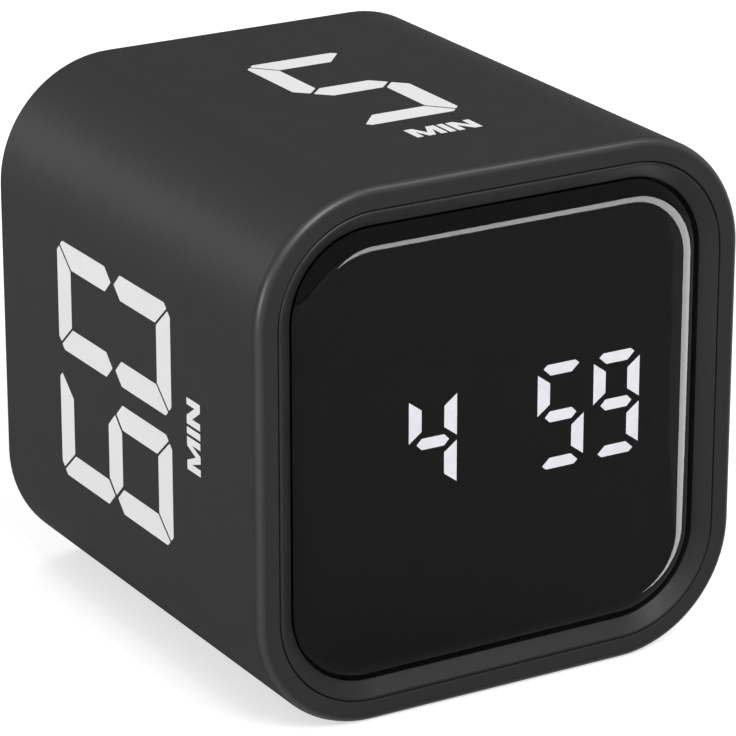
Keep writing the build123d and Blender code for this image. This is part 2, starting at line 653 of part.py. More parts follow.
def rear_cover():
    """The recessed rear plate with the battery bay, collar, stands and holes."""
    plate = slab(outline(COVER_INSET), COVER_INNER_Y, COVER_FACE_Y)
    plate = fillet(rear_edges(plate), COVER_EDGE_R)
    plate += slab(bay_outline(BAY_WALL), BAY_BACK_Y, COVER_INNER_Y)
    plate -= slab(bay_outline(0), BAY_FLOOR_Y, COVER_FACE_Y + OVERRUN)
    plate -= slab(door_outline(DOOR_GAP), DOOR_INNER_Y, COVER_FACE_Y + OVERRUN)
    scoop_z = DOOR_FOOT - DOOR_GAP
    scoop_y = COVER_FACE_Y - SCOOP_DEPTH + SCOOP_R
    scoop = Pos(*spot(0, scoop_y, scoop_z)) * Sphere(SCOOP_R)
    plate -= scoop & block(0, scoop_z, SCOOP_W, SCOOP_W, DOOR_INNER_Y, REAR_Y)
    rib_end = BAY_FLOOR_Y + BAY_RIB_H
    plate += block(0, BAY_Z, BAY_L - 2 * BAY_RIB_SHORT, BAY_RIB_W, BAY_FLOOR_Y, rib_end)
    plate += rod(0, BUZZER_Z, COLLAR_R, COVER_INNER_Y - COLLAR_H, COVER_INNER_Y)
    bore_r = BUZZER_R + COLLAR_PLAY
    plate -= rod(0, BUZZER_Z, bore_r, COVER_INNER_Y - COLLAR_H, COVER_INNER_Y)
    holes = [(0, BUZZER_Z)]
    for place in range(SOUND_HOLES):
        turn = 2 * math.pi * place / SOUND_HOLES
        holes.append((SOUND_RING_R * math.cos(turn), BUZZER_Z + SOUND_RING_R * math.sin(turn)))
    for x, z in holes:
        plate -= rod(x, z, SOUND_R, COVER_INNER_Y, COVER_FACE_Y)
    for x in BUTTON_XS:
        hole_r = BUTTON_R + BUTTON_CLEARANCE
        plate -= rod(x, CONTROL_Z, hole_r, COVER_INNER_Y, COVER_FACE_Y)
    slot_l = KNOB_L + 2 * (KNOB_TRAVEL + KNOB_CLEARANCE)
    slot_w = KNOB_W + 2 * KNOB_CLEARANCE
    plate -= block(KNOB_X, CONTROL_Z, slot_l, slot_w, COVER_INNER_Y, COVER_FACE_Y)
    for side in (-1, 1):
        head_r = COVER_SCREW_HEAD_R + COUNTERBORE_PLAY
        hole_r = COVER_SCREW_R + SCREW_HOLE_PLAY
        plate -= rod(side * BOSS_X, BOSS_Z, head_r, SCREW_SEAT_Y, COVER_FACE_Y)
        plate -= rod(side * BOSS_X, BOSS_Z, hole_r, COVER_INNER_Y, SCREW_SEAT_Y)
        stand_x = side * STAND_X
        plate += rod(stand_x, CONTROL_Z, STAND_R, CONTROL_Y, COVER_INNER_Y)
        bite_end = CONTROL_Y + STAND_SCREW_BITE + SCREW_PLAY
        plate -= rod(stand_x, CONTROL_Z, STAND_SCREW_R + SCREW_PLAY, CONTROL_Y, bite_end)
        tab_end = COVER_INNER_Y + TAB_T
        plate += block(side * TAB_SPREAD, TAB_Z, TAB_W, TAB_TALL, COVER_INNER_Y, tab_end)
        toe_x = side * TOE_SPREAD
        slot_wide = TOE_W + 2 * TOE_PLAY
        slot_low = BAY_TOP + BAY_WALL / 2
        toe_low = TOE_LOW_Y - TOE_SWING_PLAY
        plate -= block(toe_x, slot_low, slot_wide, BAY_WALL + OVERRUN, toe_low, DOOR_INNER_Y)
    tail_wide = CONTACT_T + 2 * TAIL_SLOT_PLAY
    tail_tall = TAIL_W + 2 * TAIL_SLOT_PLAY
    for z in (UPPER_Z, LOWER_Z):
        plate -= block(CONTACT_X, z, tail_wide, tail_tall, BAY_BACK_Y, BAY_FLOOR_Y)
    return plate


def battery_door():
    """The door: round hinge bead on top, two toes inside it, a snap finger below."""
    door = slab(door_outline(0), DOOR_INNER_Y, COVER_FACE_Y)
    over = DOOR_T
    door -= block(0, HINGE_Z + over / 2, DOOR_W + over, over, DOOR_INNER_Y, COVER_FACE_Y)
    bead_at = Pos(*spot(0, HINGE_Y, HINGE_Z)) * Rot(0, 90, 0)
    door += bead_at * Cylinder(DOOR_T / 2, DOOR_W)
    leg_top = BAY_TOP - TOE_PLAY
    leg_z = leg_top - TOE_LEG / 2
    toe_top = DOOR_TOP + DOOR_GAP + TOE_REACH
    toe_z = (toe_top + leg_top - TOE_LEG) / 2
    toe_tall = toe_top - leg_top + TOE_LEG
    for side in (-1, 1):
        door += block(side * TOE_SPREAD, leg_z, TOE_W, TOE_LEG, TOE_LOW_Y, DOOR_INNER_Y)
        door += block(side * TOE_SPREAD, toe_z, TOE_W, toe_tall, TOE_LOW_Y, TOE_TOP_Y)
        slit_x = side * (FINGER_W + SLIT_W) / 2
        door -= block(slit_x, DOOR_FOOT, SLIT_W, 2 * SLIT_LEN, DOOR_INNER_Y, COVER_FACE_Y)
    for place in range(GRIPS):
        z = DOOR_FOOT + GRIP_INSET + GRIP_PITCH * place
        grip = Pos(0, z) * SlotOverall(GRIP_LEN, GRIP_W)
        door += slab(grip, COVER_FACE_Y, COVER_FACE_Y + GRIP_H)
    return door


def cross_cut(x, z, top):
    """The cross-shaped drive in a screw head."""
    low = top - DRIVE_DEPTH
    across = block(x, z, 2 * DRIVE_REACH, DRIVE_W, low, top)
    return across + block(x, z, DRIVE_W, 2 * DRIVE_REACH, low, top)


def cover_screws():
    """The two screws that close the rear cover."""
    screws = []
    top = SCREW_SEAT_Y + COVER_SCREW_HEAD_T
    for side in (-1, 1):
        x = side * BOSS_X
        screw = rod(x, BOSS_Z, COVER_SCREW_HEAD_R, SCREW_SEAT_Y, top)
        screw = fillet(rear_edges(screw), COVER_SCREW_EDGE_R)
        screw += rod(x, BOSS_Z, COVER_SCREW_R, SCREW_SEAT_Y - COVER_SCREW_LEN, SCREW_SEAT_Y)
        screws.append((screw - cross_cut(x, BOSS_Z, top)).solid())
    return Compound(screws)


def battery_cell(z, facing):
    """A round cell along X: crimped can, flat foot and raised nub."""
    foot = -CELL_L / 2
    shoulder = CELL_L / 2 - CELL_NUB_L
    radius = CELL_D / 2
    profile = [(foot, 0), (foot, CELL_FOOT_R), (foot + CELL_FOOT_L, CELL_FOOT_R + CELL_FOOT_L)]
    profile += [(foot + CELL_FOOT_L, radius - CELL_EDGE_R), (foot + CELL_FOOT_L + CELL_EDGE_R, radius)]
    profile += [(shoulder - CELL_EDGE_R, radius), (shoulder, radius - CELL_EDGE_R)]
    profile += [(shoulder, CELL_NUB_R), (CELL_L / 2, CELL_NUB_R), (CELL_L / 2, 0)]
    can = revolve(make_face(Polyline(*profile, close=True)), Axis.X, 360)
    placed = Pos(*spot(facing * CELL_SHIFT, CELL_Y, z))
    if facing < 0:
        can = Rot(0, 0, 180) * can
    return placed * can


def contact_plate(side, low_z, high_z):
    """A flat contact against one end wall of the bay."""
    middle = (low_z + high_z) / 2
    tall = high_z - low_z + CONTACT_SIDE
    plate_x = side * CONTACT_X
    low_y = CELL_Y - CONTACT_SIDE / 2
    return block(plate_x, middle, CONTACT_T, tall, low_y, CELL_Y + CONTACT_SIDE / 2)


def dimple(side, z):
    """The raised button of a contact, facing the nub of a cell."""
    base_x = side * (BAY_L / 2 - CONTACT_T - DIMPLE_H / 2)
    cone = Cone(DIMPLE_R, DIMPLE_TIP_R, DIMPLE_H)
    return Pos(*spot(base_x, CELL_Y, z)) * Rot(0, -90 * side, 0) * cone


def contact_tail(z, reach):
    """The solder tail of a contact, run through the floor of the bay."""
    return block(CONTACT_X, z, CONTACT_T, TAIL_W, BAY_BACK_Y - reach, CELL_Y - CONTACT_SIDE / 2)


def positive_contact():
    """The upper contact at the right-hand end, with its short tail."""
    plate = contact_plate(1, UPPER_Z, UPPER_Z) + dimple(1, UPPER_Z)
    return plate + contact_tail(UPPER_Z, TAIL_OUT)


def negative_contact():
    """The lower contact at the right-hand end, with its long tail."""
    return contact_plate(1, LOWER_Z, LOWER_Z) + contact_tail(LOWER_Z, LONG_TAIL)


def bridge_contact():
    """The plate at the left-hand end that joins the two cells."""
    return contact_plate(-1, LOWER_Z, UPPER_Z) + dimple(-1, LOWER_Z)


def spring_points(turns):
    """Points and directions along a conical coil whose axis is X."""
    rise = SPRING_ROOM - 2 * (SPRING_SEAT + SPRING_WIRE_R)
    shrink = SPRING_BASE_R - SPRING_TIP_R
    points = []
    for turn in turns:
        share = turn / SPRING_TURNS
        angle = 2 * math.pi * turn
        radius = SPRING_BASE_R - shrink * share
        point = Vector(rise * share, radius * math.cos(angle), radius * math.sin(angle))
        climb = rise / SPRING_TURNS
        inward = shrink / SPRING_TURNS
        sweep_y = -inward * math.cos(angle) - 2 * math.pi * radius * math.sin(angle)
        sweep_z = -inward * math.sin(angle) + 2 * math.pi * radius * math.cos(angle)
        points.append((point, Vector(climb, sweep_y, sweep_z).normalized()))
    return points


def biarc(start, start_way, end, end_way):
    """Two arcs that join two points and keep both directions."""
    span = end - start
    ways = start_way + end_way
    bend = 2 * (1 - start_way.dot(end_way))
    along = span.dot(ways)
    reach = (math.sqrt(along ** 2 + bend * span.dot(span)) - along) / bend
    middle = (start + end + (start_way - end_way) * reach) * (1 / 2)
    first = TangentArc(start, middle, tangent=start_way)
    second = TangentArc(middle, end, tangent=first % 1)
    return [first.edge(), second.edge()]


def coil_spring():
    """A conical coil along X from its base, swept on arcs of a quarter turn."""
    quarters = round(4 * SPRING_TURNS)
    stations = spring_points([quarter / 4 for quarter in range(quarters + 1)])
    edges = []
    for here, there in zip(stations[:-1], stations[1:]):
        edges += biarc(here[0], here[1], there[0], there[1])
    path = Wire(edges)
    start, way = stations[0]
    ring = Plane(origin=start, z_dir=way) * Circle(SPRING_WIRE_R)
    return sweep(ring, path=path)


def print_spring_gap():
    """Print the least gap between neighbouring turns of the coil."""
    fine = 48
    places = [place / fine for place in range(round(SPRING_TURNS * fine) + 1)]
    points = [point for point, way in spring_points(places)]
    least = SPRING_BASE_R
    for first in range(len(points)):
        for second in range(first + fine // 2, len(points)):
            least = min(least, (points[first] - points[second]).length)
    print("spring gap to itself", round(least - 2 * SPRING_WIRE_R, 3))


def placed_spring(side, z):
    """A spring with its base on the contact at one end of the bay."""
    base_x = side * (BAY_L / 2 - CONTACT_T - SPRING_SEAT - SPRING_WIRE_R)
    coil = coil_spring()
    if side > 0:
        coil = Rot(0, 0, 180) * coil
    return Pos(*spot(base_x, CELL_Y, z)) * coil


def control_board():
    """The narrow board behind the buttons."""
    board = block(0, CONTROL_Z, CONTROL_L, CONTROL_H, CONTROL_FRONT_Y, CONTROL_Y)
    for side in (-1, 1):
        hole_r = STAND_SCREW_R + SCREW_HOLE_PLAY
        board -= rod(side * STAND_X, CONTROL_Z, hole_r, CONTROL_FRONT_Y, CONTROL_Y)
    return board


def control_screws():
    """The two screws that hold the control board to its stands."""
    screws = []
    for side in (-1, 1):
        x = side * STAND_X
        head_y = CONTROL_FRONT_Y - STAND_SCREW_HEAD_T
        screw = rod(x, CONTROL_Z, STAND_SCREW_HEAD_R, head_y, CONTROL_FRONT_Y)
        screw += rod(x, CONTROL_Z, STAND_SCREW_R, CONTROL_FRONT_Y, CONTROL_Y + STAND_SCREW_BITE)
        screws.append(screw.solid())
    return Compound(screws)


def push_button(x):
    """A round button with a dished face, a flange and a stem."""
    face_y = COVER_FACE_Y + BUTTON_PROUD
    cap = rod(x, CONTROL_Z, BUTTON_R, FLANGE_TOP_Y, face_y)
    cap = fillet(rear_edges(cap), BUTTON_EDGE_R)
    dish_y = face_y - BUTTON_DISH + BUTTON_DISH_R
    cap -= Pos(*spot(x, dish_y, CONTROL_Z)) * Sphere(BUTTON_DISH_R)
    cap += rod(x, CONTROL_Z, FLANGE_R, FLANGE_TOP_Y - FLANGE_T, FLANGE_TOP_Y)
    return cap + rod(x, CONTROL_Z, STEM_R, STEM_END_Y, FLANGE_TOP_Y - FLANGE_T)


def button_switch(x):
    """A square switch body with a lid and a bore for its plunger."""
    lid_y = SWITCH_TOP_Y - SWITCH_LID_T
    body = block(x, CONTROL_Z, SWITCH_SIDE, SWITCH_SIDE, CONTROL_Y, lid_y)
    lid_side = SWITCH_SIDE - 2 * SWITCH_LID_INSET
    body += block(x, CONTROL_Z, lid_side, lid_side, lid_y, SWITCH_TOP_Y)
    bore_r = PLUNGER_R + PLUNGER_PLAY
    bore_end = SWITCH_TOP_Y - PLUNGER_SUNK - KEY_TRAVEL - PLUNGER_ROOM
    return body - rod(x, CONTROL_Z, bore_r, bore_end, SWITCH_TOP_Y)


def switch_plunger(x):
    """The plunger under a button."""
    return rod(x, CONTROL_Z, PLUNGER_R, SWITCH_TOP_Y - PLUNGER_SUNK, PLUNGER_TOP_Y)


def volume_knob():
    """The sliding knob: ribbed top, base plate and a socket for the lever."""
    face_y = COVER_FACE_Y + KNOB_PROUD
    knob = block(KNOB_X, CONTROL_Z, KNOB_L, KNOB_W, KNOB_BASE_TOP_Y, face_y)
    knob = fillet(knob.edges().filter_by(Axis.Y), KNOB_EDGE_R)
    first = -KNOB_RIB_PITCH * (KNOB_RIBS - 1) / 2
    for place in range(KNOB_RIBS):
        x = KNOB_X + first + KNOB_RIB_PITCH * place
        knob -= block(x, CONTROL_Z, KNOB_RIB_W, KNOB_W, face_y - KNOB_RIB_DEPTH, face_y)
    knob += block(KNOB_X, CONTROL_Z, KNOB_BASE_L, KNOB_BASE_W, KNOB_BASE_LOW_Y, KNOB_BASE_TOP_Y)
    hole = LEVER_SIDE + 2 * LEVER_PLAY
    hole_top = KNOB_BASE_LOW_Y + LEVER_BITE + LEVER_PLAY
    return knob - block(KNOB_X, CONTROL_Z, hole, hole, KNOB_BASE_LOW_Y, hole_top)


def slide_switch():
    """The switch shell, hollow, with a slot for its lever."""
    shell = block(KNOB_X, CONTROL_Z, SLIDER_L, SLIDER_W, CONTROL_Y, SLIDER_TOP_Y)
    inner_l = SLIDER_L - 2 * SLIDER_WALL
    inner_w = SLIDER_W - 2 * SLIDER_WALL
    floor_y = CONTROL_Y + SLIDER_WALL
    shell -= block(KNOB_X, CONTROL_Z, inner_l, inner_w, floor_y, SLIDER_LID_Y)
    slot_l = LEVER_SIDE + 2 * (KNOB_TRAVEL + SLIDER_PLAY)
    slot_w = LEVER_SIDE + 2 * SLIDER_PLAY
    return shell - block(KNOB_X, CONTROL_Z, slot_l, slot_w, SLIDER_LID_Y, SLIDER_TOP_Y)


def switch_lever():
    """The lever of the slide switch, footed inside the shell."""
    foot_top = SLIDER_LID_Y - LEVER_PLAY
    lever_top = KNOB_BASE_LOW_Y + LEVER_BITE
    foot_low = foot_top - LEVER_FOOT_T
    foot = block(KNOB_X, CONTROL_Z, LEVER_FOOT_L, LEVER_FOOT_W, foot_low, foot_top)
    return foot + block(KNOB_X, CONTROL_Z, LEVER_SIDE, LEVER_SIDE, foot_top, lever_top)


def buzzer():
    """The round buzzer in the collar behind the sound holes."""
    can = rod(0, BUZZER_Z, BUZZER_R, BUZZER_LOW_Y, BUZZER_TOP_Y)
    can = fillet(rear_edges(can), BUZZER_EDGE_R)
    return can - rod(0, BUZZER_Z, BUZZER_HOLE_R, BUZZER_TOP_Y - BUZZER_HOLE_DEPTH, BUZZER_TOP_Y)


def wire_along(points, radius, bend):
    """A round lead along straight runs with rounded bends."""
    path = FilletPolyline(*points, radius=bend)
    way = (points[1] - points[0]).normalized()
    return sweep(Plane(origin=points[0], z_dir=way) * Circle(radius), path=path)


def buzzer_leads():
    """The two leads from the buzzer to the control board."""
    run_y = BUZZER_LOW_Y - BUZZER_LEAD_RUN
    land_z = CONTROL_Z + CONTROL_H / 2 - BUZZER_LEAD_LAND
    leads = []
    for side in (-1, 1):
        x = side * BUZZER_LEAD_SPREAD
        points = [spot(x, BUZZER_LOW_Y, BUZZER_Z), spot(x, run_y, BUZZER_Z)]
        points += [spot(x, run_y, land_z), spot(x, CONTROL_FRONT_Y, land_z)]
        leads.append(wire_along(points, BUZZER_LEAD_R, BUZZER_LEAD_BEND_R).solid())
    return Compound(leads)


def battery_lead(z, reach, land_z):
    """A lead from the tail of a contact up to the control board."""
    run_y = BAY_BACK_Y - reach + LEAD_R
    points = [spot(CONTACT_X, run_y, z + TAIL_W / 2), spot(CONTACT_X, run_y, land_z)]
    points.append(spot(CONTACT_X, CONTROL_FRONT_Y, land_z))
    return wire_along(points, LEAD_R, LEAD_BEND_R)


def socket(z, near, far, mouth_near, mouth_far):
    """A ribbon socket with a mouth for the ribbon."""
    body = block(RIBBON_X, z, SOCKET_L, SOCKET_W, near, far)
    wide = RIBBON_W + 2 * SOCKET_PLAY
    tall = RIBBON_T + 2 * SOCKET_PLAY
    return body - block(RIBBON_X, z, wide, tall, mouth_near, mouth_far)


def main_socket():
    """The socket on the rear of the main board."""
    return socket(RIBBON_RISE, BOARD_BACK_Y, MAIN_SOCKET_Y, MAIN_MOUTH_Y, MAIN_SOCKET_Y)


def control_socket():
    """The socket on the front of the control board."""
    return socket(CONTROL_Z, CONTROL_SOCKET_Y, CONTROL_FRONT_Y, CONTROL_SOCKET_Y, CONTROL_MOUTH_Y)


def ribbon():
    """The flat ribbon between the two boards."""
    lead_in = (CONTROL_SOCKET_Y - MAIN_SOCKET_Y - RIBBON_SLOPE) / 2
    start = spot(RIBBON_X, MAIN_MOUTH_Y, RIBBON_RISE)
    end = spot(RIBBON_X, CONTROL_MOUTH_Y, CONTROL_Z)
    knee = spot(RIBBON_X, MAIN_SOCKET_Y + lead_in, RIBBON_RISE)
    elbow = spot(RIBBON_X, CONTROL_SOCKET_Y - lead_in, CONTROL_Z)
    path = FilletPolyline(start, knee, elbow, end, radius=RIBBON_BEND_R)
    strip = Plane(origin=start, x_dir=(1, 0, 0), z_dir=(0, 1, 0)) * Rectangle(RIBBON_W, RIBBON_T)
    return sweep(strip, path=path)


def bundle(parts):
    """Several separate solids handed in as one piece."""
    return Compound([part.solid() for part in parts])


os.makedirs("parts", exist_ok=True)
print_spring_gap()

pieces = {
    "body_sleeve": body_sleeve(),
    "front_bezel": front_bezel(),
    "display_lens": display_lens(),
    "lens_tape": lens_tape(),
    "display_module": display_module(),
    "lit_segments": bundle(windows(lit_bars())),
    "unlit_segments": bundle(windows(unlit_bars())),
    "colon_dots": bundle(windows(colon_spots())),
    "module_pins": module_pins(),
    "main_board": main_board(),
    "board_screws": board_screws(),
    "controller_chip": controller_chip(),
    "tilt_sensor": tilt_sensor(),
    "main_socket": main_socket(),
    "rear_cover": rear_cover(),
    "battery_door": battery_door(),
    "cover_screws": cover_screws(),
    "upper_cell": battery_cell(UPPER_Z, 1),
    "lower_cell": battery_cell(LOWER_Z, -1),
    "positive_contact": positive_contact(),
    "negative_contact": negative_contact(),
    "bridge_contact": bridge_contact(),
    "upper_spring": placed_spring(-1, UPPER_Z),
    "lower_spring": placed_spring(1, LOWER_Z),
    "control_board": control_board(),
    "control_screws": control_screws(),
    "control_socket": control_socket(),
    "ribbon": ribbon(),
    "minute_button": push_button(BUTTON_XS[0]),
    "second_button": push_button(BUTTON_XS[1]),
    "start_button": push_button(BUTTON_XS[2]),
    "minute_switch": button_switch(BUTTON_XS[0]),
    "second_switch": button_switch(BUTTON_XS[1]),
    "start_switch": button_switch(BUTTON_XS[2]),
    "minute_plunger": switch_plunger(BUTTON_XS[0]),
    "second_plunger": switch_plunger(BUTTON_XS[1]),
    "start_plunger": switch_plunger(BUTTON_XS[2]),
    "volume_knob": volume_knob(),
    "slide_switch": slide_switch(),
    "slide_lever": switch_lever(),
    "buzzer": buzzer(),
    "buzzer_leads": buzzer_leads(),
    "red_lead": battery_lead(UPPER_Z, TAIL_OUT, RED_LAND_Z),
    "black_lead": battery_lead(LOWER_Z, LONG_TAIL, BLACK_LAND_Z),
}
for name, piece in pieces.items():
    export_step(piece, "parts/" + name + ".step")
print(len(pieces), "pieces")
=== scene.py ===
# %% [markdown]
# # A cube timer
#
# The timer is a rounded cube of dark plastic, sixty millimetres each way. A smoked lens fills its
# front, white digits glow behind it, and each side face carries a printed number of minutes.
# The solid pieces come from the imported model, so this lesson gives them their finishes, lays the
# print on the faces, and sets the light and the camera.

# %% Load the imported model
import math

import bmesh
import bpy
from mathutils import Matrix, Vector


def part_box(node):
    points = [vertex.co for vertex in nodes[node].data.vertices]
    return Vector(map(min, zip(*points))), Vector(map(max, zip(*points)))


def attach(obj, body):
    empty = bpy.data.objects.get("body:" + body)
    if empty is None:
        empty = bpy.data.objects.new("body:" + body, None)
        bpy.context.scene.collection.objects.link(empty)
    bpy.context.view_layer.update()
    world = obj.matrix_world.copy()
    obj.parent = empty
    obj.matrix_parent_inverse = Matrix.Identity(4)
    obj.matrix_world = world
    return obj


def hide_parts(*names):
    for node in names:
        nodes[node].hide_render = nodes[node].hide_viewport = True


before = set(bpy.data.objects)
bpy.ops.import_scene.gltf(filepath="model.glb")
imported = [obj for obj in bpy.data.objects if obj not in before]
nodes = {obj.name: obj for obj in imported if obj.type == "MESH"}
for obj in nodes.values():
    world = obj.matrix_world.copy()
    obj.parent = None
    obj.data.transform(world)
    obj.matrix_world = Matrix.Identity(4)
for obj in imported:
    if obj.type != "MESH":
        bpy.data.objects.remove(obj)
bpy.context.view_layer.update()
scene = bpy.context.scene
MM = 0.001

# %% [markdown]
# ## Camera
#
# The photograph looks at the front from the left and from above, through a long lens. A long lens
# could be copied with an orthographic camera, but the far edges of the cube are a little shorter
# than the near ones, so a perspective camera with a narrow view is the right choice.

# %% Camera
HALF = 30 * MM
CUBE_MIDDLE = Vector((0, 0, HALF))
VIEW_DISTANCE = 462.2 * MM
CAMERA_STAND = (-30.466, 19.953)
CAMERA_LOOK = (-30.564, 20.210)
SENSOR_WIDE = 36.0
FOCAL_LENGTH = 201.3


def seen_from(azimuth, elevation):
    """The direction from the cube to a viewer at these angles in degrees."""
    turn, rise = math.radians(azimuth), math.radians(elevation)
    return Vector((math.sin(turn) * math.cos(rise), -math.cos(turn) * math.cos(rise), math.sin(rise)))


camera_data = bpy.data.cameras.new("photo_camera")
camera_data.sensor_width = SENSOR_WIDE
camera_data.lens = FOCAL_LENGTH
camera_data.clip_start = 0.01
camera_data.clip_end = 20.0
camera = bpy.data.objects.new("photo_camera", camera_data)
scene.collection.objects.link(camera)
camera.location = CUBE_MIDDLE + seen_from(*CAMERA_STAND) * VIEW_DISTANCE
camera.rotation_mode = "QUATERNION"
camera.rotation_quaternion = (-seen_from(*CAMERA_LOOK)).to_track_quat("-Z", "Y")
scene.camera = camera
print("camera at", [round(v, 4) for v in camera.location])

# %% [markdown]
# ## Light
#
# The photograph is evenly lit, a little more from above and from the left, and its background is
# plain white. A bright world alone would flatten the shape, so a dim world is joined by large soft
# lamps. The world turns white only for what the camera sees, straight or through the lens.

# %% World
scene.view_settings.view_transform = "Standard"
WORLD_FILL = 0.5

world = bpy.data.worlds.new("studio")
world.use_nodes = True
scene.world = world
sky = world.node_tree
background = sky.nodes["Background"]
light_path = sky.nodes.new("ShaderNodeLightPath")
seen_or_through = sky.nodes.new("ShaderNodeMath")
seen_or_through.operation = "MAXIMUM"
level = sky.nodes.new("ShaderNodeMapRange")
level.inputs["To Min"].default_value = WORLD_FILL
level.inputs["To Max"].default_value = 1.0
sky.links.new(seen_or_through.inputs[0], light_path.outputs["Is Camera Ray"])
sky.links.new(seen_or_through.inputs[1], light_path.outputs["Is Transmission Ray"])
sky.links.new(level.inputs["Value"], seen_or_through.outputs[0])
sky.links.new(background.inputs["Strength"], level.outputs["Result"])
background.inputs["Color"].default_value = (1.0, 1.0, 1.0, 1.0)
print("world fill", WORLD_FILL)

# %% [markdown]
# ### Lamps
#
# Four large lamps stand round the cube: the main one before and above it, one at the left, and two
# behind it for the views from the rear. Point lamps would draw hard shadows, so each lamp is a
# wide rectangle that looks at the middle of the cube.

# %% Lamps
LAMP_DISTANCE = 0.9


def soft_lamp(name, azimuth, elevation, wide, tall, watts):
    """A rectangular lamp that looks at the middle of the cube."""
    lamp_data = bpy.data.lights.new(name, "AREA")
    lamp_data.shape = "RECTANGLE"
    lamp_data.size = wide
    lamp_data.size_y = tall
    lamp_data.energy = watts
    lamp = bpy.data.objects.new(name, lamp_data)
    scene.collection.objects.link(lamp)
    away = seen_from(azimuth, elevation)
    lamp.location = CUBE_MIDDLE + away * LAMP_DISTANCE
    lamp.rotation_mode = "QUATERNION"
    lamp.rotation_quaternion = (-away).to_track_quat("-Z", "Y")
    lamp.visible_camera = False
    return lamp


upper_front_lamp = soft_lamp("upper_front_lamp", -5, 42, 0.4, 0.4, 5.4)
soft_lamp("left_lamp", -75, 10, 0.45, 0.25, 1.6)
soft_lamp("rear_left_lamp", -146, 12, 0.45, 0.35, 3.6)
rear_right_lamp = soft_lamp("rear_right_lamp", 125, 18, 0.45, 0.45, 3.6)
rear_right_lamp.visible_glossy = False

# %% [markdown]
# ## Floor
#
# The cube rests on a pale table. A plane that gave off white light would swallow the shadow, so
# the floor is a real pale surface, and only what the camera sees of it is lifted towards white.

# %% Floor
FLOOR_LIFT = 0.58
FLOOR_REACH = 3.0
FLOOR_GAP = 0.05 * MM
PALE_GREY = (0.6, 0.6, 0.6, 1.0)

floor_shape = bmesh.new()
bmesh.ops.create_grid(floor_shape, x_segments=1, y_segments=1, size=FLOOR_REACH)
floor_mesh = bpy.data.meshes.new("floor")
floor_shape.to_mesh(floor_mesh)
floor_shape.free()
floor = bpy.data.objects.new("floor", floor_mesh)
floor.location.z = -FLOOR_GAP
scene.collection.objects.link(floor)

floor_finish = bpy.data.materials.new("pale_table")
floor_finish.use_nodes = True
table_tree = floor_finish.node_tree
table_shader = table_tree.nodes["Principled BSDF"]
table_shader.inputs["Base Color"].default_value = PALE_GREY
table_shader.inputs["Roughness"].default_value = 0.9
table_shader.inputs["Specular IOR Level"].default_value = 0.1
table_shader.inputs["Emission Color"].default_value = (1.0, 1.0, 1.0, 1.0)
ray = table_tree.nodes.new("ShaderNodeLightPath")
through = table_tree.nodes.new("ShaderNodeMath")
through.operation = "MAXIMUM"
lift = table_tree.nodes.new("ShaderNodeMath")
lift.operation = "MULTIPLY"
lift.inputs[1].default_value = FLOOR_LIFT
table_tree.links.new(through.inputs[0], ray.outputs["Is Camera Ray"])
table_tree.links.new(through.inputs[1], ray.outputs["Is Transmission Ray"])
table_tree.links.new(lift.inputs[0], through.outputs[0])
table_tree.links.new(table_shader.inputs["Emission Strength"], lift.outputs[0])
floor_mesh.materials.append(floor_finish)
print("floor lift", FLOOR_LIFT)

# %% [markdown]
# ## Shared surface effects
#
# Every moulded piece has the fine grain of its mould, and pieces that are handled have faint
# smudges. Each effect could be rebuilt in every material, but a node group is built once, and a
# material sets its own scale on it. Groups give out heights, tones and masks only.

# %% Node helpers


def add(tree, kind, **settings):
    """A new node with some of its settings."""
    made = tree.nodes.new(kind)
    for name, value in settings.items():
        setattr(made, name, value)
    return made


def feed(tree, socket, value):
    """Joins a socket to another one, or sets it to a plain value."""
    if isinstance(value, bpy.types.NodeSocket):
        tree.links.new(socket, value)
    else:
        socket.default_value = value


def maths(tree, operation, first, second=0.0):
    """One step of arithmetic on two values."""
    made = add(tree, "ShaderNodeMath", operation=operation)
    feed(tree, made.inputs[0], first)
    feed(tree, made.inputs[1], second)
    return made.outputs[0]


def spread(tree, value, low, high, from_low=0.0, from_high=1.0):
    """A value moved from one range to another, and held inside it."""
    made = add(tree, "ShaderNodeMapRange")
    feed(tree, made.inputs["Value"], value)
    made.inputs["From Min"].default_value = from_low
    made.inputs["From Max"].default_value = from_high
    made.inputs["To Min"].default_value = low
    made.inputs["To Max"].default_value = high
    return made.outputs["Result"]


def noise(tree, vector, scale, detail=2.0):
    """Soft cloudy noise between 0 and 1."""
    made = add(tree, "ShaderNodeTexNoise")
    feed(tree, made.inputs["Vector"], vector)
    feed(tree, made.inputs["Scale"], scale)
    made.inputs["Detail"].default_value = detail
    return made.outputs["Fac"]


def tint(tree, value, stops):
    """A colour that follows a value along some stops."""
    made = add(tree, "ShaderNodeValToRGB")
    feed(tree, made.inputs["Fac"], value)
    ramp = made.color_ramp
    while len(ramp.elements) < len(stops):
        ramp.elements.new(1.0)
    for element, (place, colour) in zip(ramp.elements, stops):
        element.position = place
        element.color = (*colour, 1.0)
    return made.outputs["Color"]


def blend(tree, mask, under, over):
    """One colour laid over another where a mask is 1."""
    made = add(tree, "ShaderNodeMix", data_type="RGBA")
    feed(tree, made.inputs[0], mask)
    feed(tree, made.inputs[6], under if isinstance(under, bpy.types.NodeSocket) else (*under, 1.0))
    feed(tree, made.inputs[7], over if isinstance(over, bpy.types.NodeSocket) else (*over, 1.0))
    return made.outputs[2]


